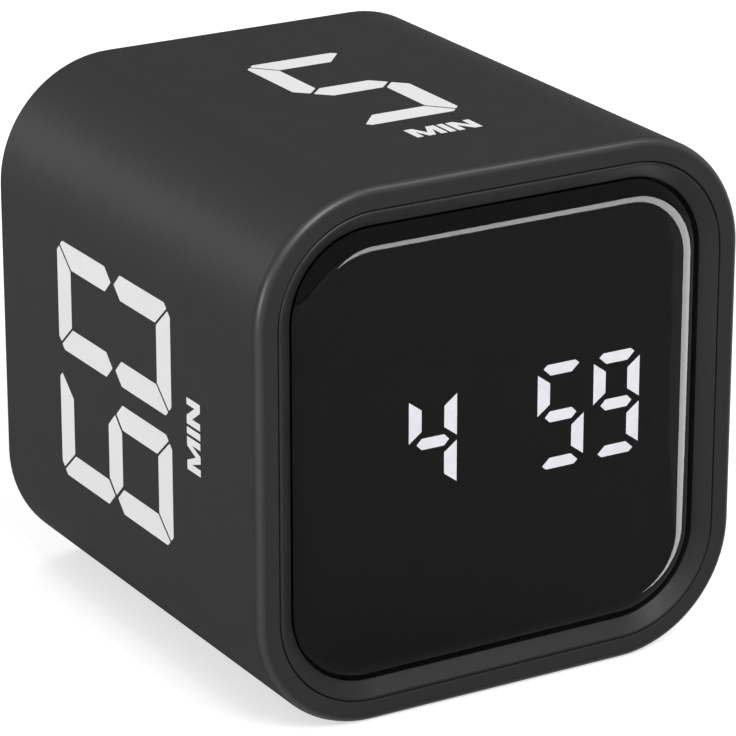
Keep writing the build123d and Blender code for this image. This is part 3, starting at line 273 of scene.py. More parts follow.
def new_group(name, inputs, outputs):
    """An empty node group with named sockets."""
    tree = bpy.data.node_groups.new(name, "ShaderNodeTree")
    tree.interface.new_socket("Vector", in_out="INPUT", socket_type="NodeSocketVector")
    for label, value in inputs.items():
        socket = tree.interface.new_socket(label, in_out="INPUT", socket_type="NodeSocketFloat")
        socket.default_value = value
    for label in outputs:
        tree.interface.new_socket(label, in_out="OUTPUT", socket_type="NodeSocketFloat")
    return tree, tree.nodes.new("NodeGroupInput").outputs, tree.nodes.new("NodeGroupOutput").inputs


print("node helpers ready")

# %% Mould grain
PITS_PER_GRAIN = 0.6
PIT_DEPTH = 0.5
CLOUDS_PER_GRAIN = 0.06
PATCHES_PER_GRAIN = 0.016
FINE_SHARE = 0.75

grain_group, grain_in, grain_out = new_group("mould_grain", {"Grains": 5000.0}, ["Height", "Tone", "Gloss"])
fine = noise(grain_group, grain_in["Vector"], grain_in["Grains"], 3.0)
pits = add(grain_group, "ShaderNodeTexVoronoi")
feed(grain_group, pits.inputs["Vector"], grain_in["Vector"])
feed(grain_group, pits.inputs["Scale"], maths(grain_group, "MULTIPLY", grain_in["Grains"], PITS_PER_GRAIN))
slow_scale = maths(grain_group, "MULTIPLY", grain_in["Grains"], PATCHES_PER_GRAIN)
slow = noise(grain_group, grain_in["Vector"], slow_scale)
cloudy_scale = maths(grain_group, "MULTIPLY", grain_in["Grains"], CLOUDS_PER_GRAIN)
cloudy = noise(grain_group, grain_in["Vector"], cloudy_scale)
pit_height = maths(grain_group, "MULTIPLY", pits.outputs["Distance"], PIT_DEPTH)
feed(grain_group, grain_out["Height"], maths(grain_group, "ADD", fine, pit_height))
slow_part = maths(grain_group, "MULTIPLY", slow, 1 - FINE_SHARE)
fine_part = maths(grain_group, "MULTIPLY", fine, FINE_SHARE)
feed(grain_group, grain_out["Tone"], maths(grain_group, "ADD", slow_part, fine_part))
feed(grain_group, grain_out["Gloss"], cloudy)
print("group", grain_group.name)

# %% Handling smudges
STREAKS_PER_PATCH = 14.0

smudge_group, smudge_in, smudge_out = new_group("handling_smudge", {"Scale": 60.0}, ["Mask"])
patches = noise(smudge_group, smudge_in["Vector"], smudge_in["Scale"], 3.0)
streak_scale = maths(smudge_group, "MULTIPLY", smudge_in["Scale"], STREAKS_PER_PATCH)
streaks = noise(smudge_group, smudge_in["Vector"], streak_scale)
patch_mask = spread(smudge_group, patches, 0.0, 1.0, 0.48, 0.7)
streak_mask = spread(smudge_group, streaks, 0.4, 1.0, 0.35, 0.65)
feed(smudge_group, smudge_out["Mask"], maths(smudge_group, "MULTIPLY", patch_mask, streak_mask))
print("group", smudge_group.name)

# %% [markdown]
# ### Burnished edges
#
# The front edge of the sleeve shines as a thin pale line, because hands and moulds polish a rounded
# edge more than a flat face. A bright stroke painted there would look wrong from other sides, so a
# mask finds the rounding itself: a point on it lies inside the wall's face and behind the front, and
# the mask is fullest where both are equally far away. The four long edges get a mask the same way.

# %% Burnished edges
CORNER_ROUND = 14.0 * MM
CORNER_START = HALF - CORNER_ROUND
FRONT_ROUND = 1.1 * MM
FRONT_FADE = (0.2, 0.66)
LONG_FADE = (0.0, 0.7)


def past_core(tree, across, height):
    """How far a point lies past the square core: sideways, upwards, and both taken together."""
    from_middle = maths(tree, "ABSOLUTE", maths(tree, "SUBTRACT", height, HALF))
    past_side = maths(tree, "SUBTRACT", maths(tree, "ABSOLUTE", across), CORNER_START)
    past_top = maths(tree, "SUBTRACT", from_middle, CORNER_START)
    side_square = maths(tree, "POWER", maths(tree, "MAXIMUM", past_side, 0.0), 2.0)
    top_square = maths(tree, "POWER", maths(tree, "MAXIMUM", past_top, 0.0), 2.0)
    return past_side, past_top, maths(tree, "SQRT", maths(tree, "ADD", side_square, top_square))


burnish_sizes = {"Wall": CORNER_ROUND, "Round": FRONT_ROUND}
burnish_group, burnish_in, burnish_out = new_group("burnished_edge", burnish_sizes, ["Front", "Long"])
spot = add(burnish_group, "ShaderNodeSeparateXYZ")
feed(burnish_group, spot.inputs[0], burnish_in["Vector"])
past_side, past_top, outward = past_core(burnish_group, spot.outputs["X"], spot.outputs["Z"])
past_rounding = maths(burnish_group, "ADD", outward, burnish_in["Round"])
from_wall = maths(burnish_group, "SUBTRACT", past_rounding, burnish_in["Wall"])
rounding_starts = maths(burnish_group, "SUBTRACT", burnish_in["Round"], HALF)
from_front = maths(burnish_group, "SUBTRACT", rounding_starts, spot.outputs["Y"])
lesser = maths(burnish_group, "MINIMUM", from_wall, from_front)
front_share = maths(burnish_group, "DIVIDE", lesser, burnish_in["Round"])
feed(burnish_group, burnish_out["Front"], spread(burnish_group, front_share, 0.0, 1.0, *FRONT_FADE))
corner_depth = maths(burnish_group, "MINIMUM", past_side, past_top)
long_share = maths(burnish_group, "DIVIDE", corner_depth, CORNER_ROUND)
feed(burnish_group, burnish_out["Long"], spread(burnish_group, long_share, 0.0, 1.0, *LONG_FADE))
print("group", burnish_group.name)

# %% [markdown]
# ### Drawn metal
#
# Wire and sheet keep fine lines from the die or the roll. A gloss that is stretched one way would
# give only the shine, so a stretched noise makes the lines, and a slow noise lays tarnish on them.

# %% Drawn metal
LINE_STRETCH = (0.08, 1.0, 1.0)
TARNISH_PER_LINE = 0.05

metal_group, metal_in, metal_out = new_group("drawn_metal", {"Lines": 9000.0}, ["Height", "Tone", "Gloss"])
stretch = add(metal_group, "ShaderNodeVectorMath", operation="MULTIPLY")
feed(metal_group, stretch.inputs[0], metal_in["Vector"])
stretch.inputs[1].default_value = LINE_STRETCH
lines = noise(metal_group, stretch.outputs[0], metal_in["Lines"], 3.0)
tarnish_scale = maths(metal_group, "MULTIPLY", metal_in["Lines"], TARNISH_PER_LINE)
tarnish = noise(metal_group, metal_in["Vector"], tarnish_scale)
feed(metal_group, metal_out["Height"], lines)
feed(metal_group, metal_out["Tone"], tarnish)
feed(metal_group, metal_out["Gloss"], maths(metal_group, "MULTIPLY", lines, tarnish))
print("group", metal_group.name)

# %% [markdown]
# ## Finishes
#
# A finish starts from the Principled shader. Its colour follows the tone of the mould grain, its
# roughness follows the cloudier part of it, and the height goes into a bump, because grain this
# fine would need millions of faces as real shape.

# %% Finish helpers
NOISE_LOW = 0.3
NOISE_HIGH = 0.7
SMUDGE_SCALE = 70.0
EDGE_ROUGHNESS = 0.35


def new_finish(name):
    """A material, its node tree, its shader and the piece's own coordinates."""
    made = bpy.data.materials.new(name)
    made.use_nodes = True
    tree = made.node_tree
    where = add(tree, "ShaderNodeTexCoord").outputs["Object"]
    return made, tree, tree.nodes["Principled BSDF"], where


def placed(tree, group, where, **values):
    """A shared effect placed in a material, with its own values."""
    made = add(tree, "ShaderNodeGroup", node_tree=group)
    feed(tree, made.inputs["Vector"], where)
    for label, value in values.items():
        made.inputs[label].default_value = value
    return made.outputs


def raise_bump(tree, shader, height, depth):
    """Turns a height into the bump of a shader. Depth is in metres."""
    bump = add(tree, "ShaderNodeBump")
    bump.inputs["Strength"].default_value = 1.0
    bump.inputs["Distance"].default_value = depth
    feed(tree, bump.inputs["Height"], height)
    feed(tree, shader.inputs["Normal"], bump.outputs["Normal"])


def moulded(name, dark, light, rough, grains=5000.0, depth=0.006 * MM, gloss=0.4, smudge=0.0, edge=None):
    """Moulded plastic or rubber: two tones of grain, a span of roughness, a bump, and shiny edges."""
    made, tree, shader, where = new_finish(name)
    grain = placed(tree, grain_group, where, Grains=grains)
    colour = tint(tree, grain["Tone"], [(NOISE_LOW, dark), (NOISE_HIGH, light)])
    roughness = spread(tree, grain["Gloss"], rough[0], rough[1], NOISE_LOW, NOISE_HIGH)
    if smudge > 0:
        mark = placed(tree, smudge_group, where, Scale=SMUDGE_SCALE)["Mask"]
        roughness = maths(tree, "SUBTRACT", roughness, maths(tree, "MULTIPLY", mark, smudge))
    if edge:
        wall, rounding, front_weight, long_weight = edge
        polish = placed(tree, burnish_group, where, Wall=wall, Round=rounding)
        front_part = maths(tree, "MULTIPLY", polish["Front"], front_weight)
        long_part = maths(tree, "MULTIPLY", polish["Long"], long_weight)
        feed(tree, shader.inputs["Coat Weight"], maths(tree, "MAXIMUM", front_part, long_part))
        shader.inputs["Coat Roughness"].default_value = EDGE_ROUGHNESS
    feed(tree, shader.inputs["Base Color"], colour)
    feed(tree, shader.inputs["Roughness"], roughness)
    shader.inputs["Specular IOR Level"].default_value = gloss
    raise_bump(tree, shader, grain["Height"], depth)
    return made


def metal(name, dark, light, rough, lines=9000.0, depth=0.002 * MM):
    """Bare or plated metal with fine drawing lines and a little tarnish."""
    made, tree, shader, where = new_finish(name)
    drawn = placed(tree, metal_group, where, Lines=lines)
    colour = tint(tree, drawn["Tone"], [(NOISE_LOW, dark), (NOISE_HIGH, light)])
    feed(tree, shader.inputs["Base Color"], colour)
    feed(tree, shader.inputs["Roughness"], spread(tree, drawn["Gloss"], rough[0], rough[1], 0.1, 0.5))
    shader.inputs["Metallic"].default_value = 1.0
    raise_bump(tree, shader, drawn["Height"], depth)
    return made


def grey(level):
    """A neutral colour from a level of 0 to 255 as a picture stores it."""
    share = level / 255
    linear = share / 12.92 if share <= 0.04045 else ((share + 0.055) / 1.055) ** 2.4
    return (linear, linear, linear)


def dress(finish, *names):
    """Gives CAD nodes their finish."""
    for name in names:
        mesh = nodes[name].data
        mesh.materials.clear()
        mesh.materials.append(finish)


print("finish helpers ready")

# %% [markdown]
# ### Shell plastics
#
# The sleeve is matte dark grey with a fine even grain. The bezel is a shade darker, with a coarser
# grain and more gloss, so that its lower slope catches the light from above. One plastic for both
# would hide the step between them. The rear cover and its door are duller, which hides wear.

# %% Shell plastics
sleeve_edge = (CORNER_ROUND, FRONT_ROUND, 1.0, 0.07)
bezel_edge = (11.4 * MM, 0.25 * MM, 0.3, 0.0)
sleeve_finish = moulded(
    "sleeve_plastic", grey(43), grey(45), (0.7, 0.74), 6500.0, 0.003 * MM, 0.1, 0.02, sleeve_edge
)
bezel_finish = moulded(
    "bezel_plastic", grey(28), grey(37), (0.42, 0.54), 3600.0, 0.016 * MM, 0.28, 0.02, bezel_edge
)
cover_finish = moulded("cover_plastic", grey(42), grey(47), (0.74, 0.82), 4200.0, 0.006 * MM, 0.2, 0.03)
dress(sleeve_finish, "body_sleeve")
dress(bezel_finish, "front_bezel")
dress(cover_finish, "rear_cover", "battery_door")
print("shell plastics done")

# %% [markdown]
# ### Smoked lens
#
# The lens is one dark pane that hides the display until it lights. Black plastic with digits
# painted on would look the same from one side only, so the lens really lets light through and is
# tinted. Faint wiping marks change its roughness.

# %% Smoked lens
SMOKE = (0.02, 0.02, 0.021, 1.0)
LENS_IOR = 1.29
WIPE_SCALE = 45.0
WIPE_ROUGHNESS = 0.03

lens_finish, tree, shader, where = new_finish("lens_smoke")
wipes = placed(tree, smudge_group, where, Scale=WIPE_SCALE)["Mask"]
shader.inputs["Base Color"].default_value = SMOKE
shader.inputs["Transmission Weight"].default_value = 1.0
shader.inputs["IOR"].default_value = LENS_IOR
feed(tree, shader.inputs["Roughness"], spread(tree, wipes, 0.0, WIPE_ROUGHNESS))
dress(lens_finish, "display_lens")
print("lens finish done")

# %% [markdown]
# ### Lens pane
#
# The pane is flat in the middle, and its edge falls away in a gentle arc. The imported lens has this
# shape, but a gloss shows every long triangle as a bent line, so the pane is made again from fine
# steps. It starts as a square with rounded corners, is raised to the height of its edge, and then
# each inset goes a little further in and a little higher along the arc. The curved edge ends up as
# a piece of its own, because a lamp can be linked to a whole piece only, and the next step needs a
# light on this edge that the flat pane doesn't mirror.

# %% Lens pane
CROWN_WIDE = 2.45 * MM
CROWN_DROP = 0.8 * MM
PANE_ROUND = 9.3 * MM
CROWN_STEPS = 24
ROUND_STEPS = 24
PANE_BORDER = 0.02 * MM
SHARP_ANGLE = math.radians(30)

pane_low, pane_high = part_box("display_lens")
pane_half = (pane_high.x - pane_low.x) / 2
pane_thick = pane_high.y - pane_low.y
crown_radius = (CROWN_WIDE ** 2 + CROWN_DROP ** 2) / (2 * CROWN_DROP)
crown_turn = math.asin(CROWN_WIDE / crown_radius)

pane = bmesh.new()
bmesh.ops.create_grid(pane, x_segments=1, y_segments=1, size=pane_half)
bmesh.ops.bevel(
    pane, geom=pane.verts[:], offset=PANE_ROUND,
    affect="VERTICES", segments=ROUND_STEPS, profile=0.5, material=-1,
)
raised = bmesh.ops.extrude_face_region(pane, geom=pane.faces[:], use_keep_orig=True)["geom"]
lifted = [part for part in raised if isinstance(part, bmesh.types.BMVert)]
front = [part for part in raised if isinstance(part, bmesh.types.BMFace)]
bmesh.ops.translate(pane, verts=lifted, vec=(0, 0, pane_thick - CROWN_DROP))
bmesh.ops.recalc_face_normals(pane, faces=pane.faces[:])
rings = []
for step in range(CROWN_STEPS, 0, -1):
    here, further = [crown_turn * place / CROWN_STEPS for place in (step, step - 1)]
    inward = crown_radius * (math.sin(here) - math.sin(further))
    upward = crown_radius * (math.cos(further) - math.cos(here))
    ring = bmesh.ops.inset_region(
        pane, faces=front, thickness=inward, depth=upward, use_even_offset=True, use_boundary=True
    )
    rings += ring["faces"]
ring = bmesh.ops.inset_region(
    pane, faces=front, thickness=PANE_BORDER, depth=0.0, use_even_offset=True, use_boundary=True
)
rings += ring["faces"]
for face in pane.faces:
    face.smooth = True
pane_place = Matrix.Translation((0, pane_high.y, (pane_low.z + pane_high.z) / 2))
stand_up = pane_place @ Matrix.Rotation(math.pi / 2, 4, "X")
bmesh.ops.transform(pane, matrix=stand_up, verts=pane.verts[:])
pane.faces.index_update()
ring_numbers = {face.index for face in rings}
crown = pane.copy()
beyond_crown = [face for face in crown.faces if face.index not in ring_numbers]
bmesh.ops.delete(crown, geom=beyond_crown, context="FACES")
bmesh.ops.delete(pane, geom=rings, context="FACES")


def lens_piece(name, shape):
    """One piece of the lens, in its place and with its finish."""
    mesh = bpy.data.meshes.new(name)
    shape.to_mesh(mesh)
    shape.free()
    mesh.set_sharp_from_angle(angle=SHARP_ANGLE)
    mesh.materials.append(lens_finish)
    piece = bpy.data.objects.new(name, mesh)
    scene.collection.objects.link(piece)
    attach(piece, "housing")
    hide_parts("display_lens")
    spans = [[v / MM for v in axis] for axis in zip(*[v.co for v in mesh.vertices])]
    ends = [(round(min(axis), 3), round(max(axis), 3)) for axis in spans]
    print(name, len(mesh.polygons), "faces, in mm", ends)
    return piece


lens_pane = lens_piece("lens_pane", pane)
lens_crown = lens_piece("lens_crown", crown)

# %% [markdown]
# ### Streak card
#
# A thin bright line runs round the top and right edge of the lens: a lit card, mirrored where the
# pane begins to curve. Paint on the lens would stay put when the view moves, so the card is real.
# It stands close before the front, just outside what the flat pane mirrors, and its ends are narrow,
# because the line in the photograph fades out at both ends. It is clear apart from its glow, and it
# shines on the curved edge alone, so that the pane doesn't mirror it in other views.

# %% Streak card
CARD_GLOW = 17.0
CARD_FRONT = -36.0
ARC_STEPS = 8


def arc(start, corner, end):
    """Points of a rounded corner, which leaves its start and reaches its end along the two sides."""
    turns = [math.pi / 2 * step / ARC_STEPS for step in range(ARC_STEPS + 1)]
    first_side, second_side = Vector(corner) - Vector(start), Vector(end) - Vector(corner)
    return [Vector(start) + first_side * math.sin(t) + second_side * (1 - math.cos(t)) for t in turns]


outer_edge = arc((-17.55, 50.45), (-16.0, 53.05), (-12.5, 53.1))
outer_edge += arc((20.05, 53.3), (31.8, 53.9), (35.75, 41.45))
outer_edge += [(35.75, 31.15), (35.0, 19.0)]
outer_edge += arc((33.4, 9.2), (32.2, 2.8), (23.9, 2.4))
inner_edge = arc((-17.45, 50.3), (-15.5, 51.2), (-12.35, 51.15))
inner_edge += arc((20.2, 50.95), (27.2, 50.6), (27.25, 43.4))
inner_edge += [(27.25, 33.25), (27.25, 21.0)]
inner_edge += arc((27.5, 8.85), (27.3, 4.3), (23.75, 2.55))

card_shape = bmesh.new()


def card_edge(points):
    """A chain of edges through points on the card's plane, in millimetres."""
    chain = [card_shape.verts.new((x * MM, CARD_FRONT * MM, z * MM)) for x, z in points]
    return [card_shape.edges.new(pair) for pair in zip(chain, chain[1:])]


bmesh.ops.bridge_loops(card_shape, edges=card_edge(outer_edge) + card_edge(inner_edge))
card_mesh = bpy.data.meshes.new("streak_card")
card_shape.to_mesh(card_mesh)
card_shape.free()
card = bpy.data.objects.new("streak_card", card_mesh)
scene.collection.objects.link(card)

card_finish = bpy.data.materials.new("card_glow")
card_finish.use_nodes = True
card_tree = card_finish.node_tree
card_tree.nodes.remove(card_tree.nodes["Principled BSDF"])
glow = add(card_tree, "ShaderNodeEmission")
glow.inputs["Strength"].default_value = CARD_GLOW
clear = add(card_tree, "ShaderNodeBsdfTransparent")
both = add(card_tree, "ShaderNodeAddShader")
feed(card_tree, both.inputs[0], glow.outputs[0])
feed(card_tree, both.inputs[1], clear.outputs[0])
feed(card_tree, card_tree.nodes["Material Output"].inputs["Surface"], both.outputs[0])
card_mesh.materials.append(card_finish)

crown_only = bpy.data.collections.new("crown_only")
crown_only.objects.link(lens_crown)
card.light_linking.receiver_collection = crown_only
card.visible_camera = False
card.visible_diffuse = False
card.visible_shadow = False
print("streak card", len(card_mesh.polygons), "faces")

# %% [markdown]
# ### Edge lamps
#
# Three small lamps draw the pale line along the front edge of the sleeve: one low on the left, one
# at the upper left corner and one above. Plain lamps would also light the flat faces and glare in
# the lens, so only the gloss of the shell answers to these, and the large lamp skips the lens.

# %% Edge lamps
EDGE_LAMPS = [("low_edge", -70, 3, 1.6), ("corner_edge", -41, 40, 0.55), ("top_edge", 54, 54, 0.8)]
EDGE_LAMP_WIDE = 0.25

shell_only = bpy.data.collections.new("shell_only")
for name in ("body_sleeve", "front_bezel"):
    shell_only.objects.link(nodes[name])
for name, azimuth, elevation, watts in EDGE_LAMPS:
    edge_lamp = soft_lamp(name + "_lamp", azimuth, elevation, EDGE_LAMP_WIDE, EDGE_LAMP_WIDE, watts)
    edge_lamp.visible_diffuse = False
    edge_lamp.light_linking.receiver_collection = shell_only

all_but_lens = bpy.data.collections.new("all_but_lens")
for place, piece in enumerate((lens_pane, lens_crown)):
    all_but_lens.objects.link(piece)
    all_but_lens.collection_objects[place].light_linking.link_state = "EXCLUDE"
upper_front_lamp.light_linking.receiver_collection = all_but_lens

# %% [markdown]
# ### Display
#
# Each lit bar is a milky window with a small lamp behind it. Real lamps behind the windows would
# be slow and speckled, so the windows glow by themselves, a little cloudy like their filling. The
# other windows stay milky and dark in the black face of the module.

# %% Display
LIT_STRENGTH = 41.0
MILKY = (0.8, 0.8, 0.8, 1.0)
CLOUDS_PER_METRE = 700.0

lit_finish, tree, shader, where = new_finish("segment_lit")
cloud = noise(tree, where, CLOUDS_PER_METRE, 1.0)
shader.inputs["Base Color"].default_value = MILKY
shader.inputs["Roughness"].default_value = 0.5
glow_colour = tint(tree, cloud, [(0.3, (0.94, 0.95, 0.95)), (0.6, (1.0, 1.0, 1.0))])
feed(tree, shader.inputs["Emission Color"], glow_colour)
shader.inputs["Emission Strength"].default_value = LIT_STRENGTH
dark_window_finish = moulded("segment_dark", grey(52), grey(60), (0.5, 0.6), 9000.0, 0.002 * MM)
module_finish = moulded("module_black", grey(14), grey(20), (0.55, 0.7), 8000.0, 0.004 * MM, 0.2)
tape_finish = moulded("tape_foam", grey(12), grey(24), (0.85, 0.95), 7000.0, 0.03 * MM, 0.1)
dress(lit_finish, "lit_segments")
dress(dark_window_finish, "unlit_segments", "colon_dots")
dress(module_finish, "display_module")
dress(tape_finish, "lens_tape")
print("display done, strength", LIT_STRENGTH)

# %% [markdown]
# ### Boards and the parts on them
#
# A circuit board is green varnish over copper tracks. The tracks come from a cell pattern with
# square corners, tinted a little lighter and raised a little, which is enough for a piece that
# shows only when the case is open.

# %% Boards
CELLS_PER_METRE = 260.0
TRACKS_PER_CELL = 3.0
WEAVE_PER_METRE = 3000.0
TRACK_HEIGHT = 0.03 * MM
VARNISH_DARK = (0.004, 0.045, 0.018)
VARNISH_LIGHT = (0.006, 0.06, 0.024)
TRACK_GREEN = (0.012, 0.11, 0.04)

board_finish, tree, shader, where = new_finish("board_green")
tracks = add(tree, "ShaderNodeTexVoronoi", distance="CHEBYCHEV", feature="F2")
feed(tree, tracks.inputs["Vector"], where)
tracks.inputs["Scale"].default_value = CELLS_PER_METRE
track_steps = maths(tree, "FRACT", maths(tree, "MULTIPLY", tracks.outputs["Distance"], TRACKS_PER_CELL))
track_mask = spread(tree, track_steps, 0.0, 1.0, 0.45, 0.55)
weave = noise(tree, where, WEAVE_PER_METRE)
varnish = tint(tree, weave, [(NOISE_LOW, VARNISH_DARK), (NOISE_HIGH, VARNISH_LIGHT)])
feed(tree, shader.inputs["Base Color"], blend(tree, track_mask, varnish, TRACK_GREEN))
feed(tree, shader.inputs["Roughness"], spread(tree, weave, 0.28, 0.4))
raise_bump(tree, shader, track_mask, TRACK_HEIGHT)
dress(board_finish, "main_board", "control_board")

CREAM = (0.62, 0.55, 0.4)
PALE_CREAM = (0.68, 0.61, 0.46)

socket_finish = moulded("socket_cream", CREAM, PALE_CREAM, (0.42, 0.5), 6000.0, 0.003 * MM, 0.5)
chip_finish = moulded("chip_black", grey(24), grey(30), (0.5, 0.6), 12000.0, 0.004 * MM)
switch_finish = moulded("switch_black", grey(26), grey(32), (0.4, 0.5), 8000.0, 0.003 * MM)
buzzer_finish = moulded("buzzer_black", grey(22), grey(28), (0.35, 0.45), 6000.0, 0.003 * MM, 0.5)
dress(socket_finish, "main_socket", "control_socket")
dress(chip_finish, "controller_chip", "tilt_sensor")
dress(switch_finish, "minute_switch", "second_switch", "start_switch")
dress(switch_finish, "minute_plunger", "second_plunger", "start_plunger", "slide_lever")
dress(buzzer_finish, "buzzer")
print("boards done")

# %% [markdown]
# ### Metals
#
# Pins, contacts and springs are plated, the small screws are bare steel, and the two cover screws
# are blackened. All are drawn or turned, so fine lines run along them.

# %% Metals
pin_finish = metal("tinned_wire", (0.6, 0.6, 0.58), (0.75, 0.75, 0.73), (0.25, 0.4))
nickel_finish = metal("contact_nickel", (0.55, 0.52, 0.47), (0.68, 0.65, 0.6), (0.2, 0.34))
spring_finish = metal("spring_steel", (0.5, 0.5, 0.5), (0.66, 0.66, 0.66), (0.2, 0.32))
steel_finish = metal("screw_steel", (0.5, 0.5, 0.5), (0.62, 0.62, 0.62), (0.28, 0.42))
black_screw_finish = metal("screw_black", (0.03, 0.03, 0.032), (0.06, 0.06, 0.064), (0.32, 0.46))
shell_finish = metal("switch_shell", (0.6, 0.6, 0.6), (0.74, 0.74, 0.74), (0.25, 0.38))
dress(pin_finish, "module_pins")
dress(nickel_finish, "positive_contact", "negative_contact", "bridge_contact")
dress(spring_finish, "upper_spring", "lower_spring")
dress(steel_finish, "board_screws", "control_screws")
dress(black_screw_finish, "cover_screws")
dress(shell_finish, "slide_switch")
print("metals done")

# %% [markdown]
# ### Cells, leads and ribbon
#
# A cell is a plain steel can in a printed film. One material covers both: its mask follows the
# length of the cell, so the ends stay bare metal. The ribbon has a ridge over each wire, and its
# grooves between the wires are painted darker, as painted shade.

# %% Cells, leads and ribbon
BARE_FOOT = 0.7 * MM
BARE_TOP = 1.5 * MM
RING_LONG = 12.0 * MM
FILM_THICK = 0.05 * MM
FILM_GREY = (0.3, 0.32, 0.33)
FILM_RED = (0.42, 0.05, 0.03)
FILM_WORN = (0.7, 0.7, 0.7)
FILM_WEAR = 0.15
CAN_METAL = (0.62, 0.6, 0.57)


def cell_finish(name, node, nub_side):
    """Film with a ring near the positive end, and bare ends."""
    low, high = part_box(node)
    made, tree, shader, where = new_finish(name)
    along = add(tree, "ShaderNodeSeparateXYZ")
    feed(tree, along.inputs[0], where)
    length = high.x - low.x
    start = low.x if nub_side > 0 else high.x
    from_foot = maths(tree, "MULTIPLY", maths(tree, "SUBTRACT", along.outputs["X"], start), nub_side)
    past_foot = maths(tree, "GREATER_THAN", from_foot, BARE_FOOT)
    before_top = maths(tree, "LESS_THAN", from_foot, length - BARE_TOP)
    film_mask = maths(tree, "MULTIPLY", past_foot, before_top)
    ring_mask = maths(tree, "GREATER_THAN", from_foot, length - RING_LONG)
    grain = placed(tree, grain_group, where, Grains=2500.0)
    film = blend(tree, ring_mask, FILM_GREY, FILM_RED)
    film = blend(tree, maths(tree, "MULTIPLY", grain["Tone"], FILM_WEAR), film, FILM_WORN)
    feed(tree, shader.inputs["Base Color"], blend(tree, film_mask, CAN_METAL, film))
    feed(tree, shader.inputs["Metallic"], maths(tree, "SUBTRACT", 1.0, film_mask))
    feed(tree, shader.inputs["Roughness"], spread(tree, grain["Gloss"], 0.24, 0.34))
    raise_bump(tree, shader, film_mask, FILM_THICK)
    return made


dress(cell_finish("cell_wrap_upper", "upper_cell", 1), "upper_cell")
dress(cell_finish("cell_wrap_lower", "lower_cell", -1), "lower_cell")

WIRES_PER_METRE = 1000.0
RIDGE_HEIGHT = 0.25 * MM
RIBBON_RED = (0.4, 0.03, 0.02)

ribbon_finish, tree, shader, where = new_finish("ribbon_grey")
across = add(tree, "ShaderNodeSeparateXYZ")
feed(tree, across.inputs[0], where)
ribbon_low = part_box("ribbon")[0]
from_edge = maths(tree, "SUBTRACT", across.outputs["X"], ribbon_low.x)
strand = maths(tree, "MULTIPLY", from_edge, WIRES_PER_METRE)
ridge = maths(tree, "SINE", maths(tree, "MULTIPLY", maths(tree, "FRACT", strand), math.pi))
red_edge = maths(tree, "LESS_THAN", strand, 1.0)
# painted shade: the grey film is darker in the grooves between the wires, lighter on the ridges
groove_shaded_film = tint(tree, ridge, [(0.0, (0.2, 0.2, 0.21)), (0.6, (0.34, 0.34, 0.35))])
feed(tree, shader.inputs["Base Color"], blend(tree, red_edge, groove_shaded_film, RIBBON_RED))
feed(tree, shader.inputs["Roughness"], spread(tree, ridge, 0.55, 0.42))
raise_bump(tree, shader, ridge, RIDGE_HEIGHT)
dress(ribbon_finish, "ribbon")

LEAD_RED = (0.38, 0.018, 0.014)
BRIGHT_RED = (0.46, 0.026, 0.02)

red_lead_finish = moulded("lead_red", LEAD_RED, BRIGHT_RED, (0.35, 0.45), 3000.0, 0.004 * MM, 0.5)
black_lead_finish = moulded("lead_black", grey(20), grey(27), (0.35, 0.45), 3000.0, 0.004 * MM, 0.5)
dress(red_lead_finish, "red_lead")
dress(black_lead_finish, "black_lead", "buzzer_leads")
print("cells, leads and ribbon done")

# %% [markdown]
# ### Keys and knob
#
# The keys are soft rubber, which is dull, and the knob is hard plastic, polished a little by the
# finger in patches. The black of the cover would lose them, so both are paler than the shell.

# %% Keys and knob
rubber_finish = moulded("button_rubber", grey(70), grey(78), (0.6, 0.72), 7000.0, 0.006 * MM, 0.3, 0.06)
knob_finish = moulded("knob_plastic", grey(66), grey(74), (0.36, 0.48), 7000.0, 0.003 * MM, 0.45, 0.06)
dress(rubber_finish, "minute_button", "second_button", "start_button")
dress(knob_finish, "volume_knob")
worn = {name: thing.data.materials for name, thing in nodes.items()}
bare = [name for name, finishes in worn.items() if not finishes or not finishes[0].use_nodes]
print("keys done, nodes without a finish:", bare)

# %% [markdown]
# ## Printed numbers
#
# The side faces carry large numbers made of bars, as on the display, and the word for minutes
# below. Print is a film of ink: it could be a pattern in the shell's material, but a pattern goes
# soft at its edges, so each bar is a thin plate. A bar is drawn from its corner points, its
# corners are rounded, and it is extruded by the thickness of the ink.

# %% Ink
INK_OVER = 0.012 * MM
INK_UNDER = 0.012 * MM

ink_finish, tree, shader, where = new_finish("print_white")
grain = placed(tree, grain_group, where, Grains=7000.0)
ink_colour = tint(tree, grain["Tone"], [(0.25, grey(214)), (0.75, grey(228))])
feed(tree, shader.inputs["Base Color"], ink_colour)
feed(tree, shader.inputs["Roughness"], spread(tree, grain["Gloss"], 0.5, 0.62))
shader.inputs["Specular IOR Level"].default_value = 0.3
raise_bump(tree, shader, grain["Height"], 0.002 * MM)
print("ink film in mm", round((INK_OVER + INK_UNDER) / MM, 3))

# %% Bars of a digit
DIGIT_HALF_W = 6.4
DIGIT_HALF_H = 13.3
BAR = 3.2
POST = 2.9
CHAMFER = 1.3
MITRE_GAP = 0.3
TIP_GAP = 0.36
MIDDLE_GAP = 0.75 * MITRE_GAP
BAR_ROUND = 0.12


def crossing(point, way, height):
    """Where a slanting line reaches a height."""
    return (point[0] + way[0] * (height - point[1]) / way[1], height)


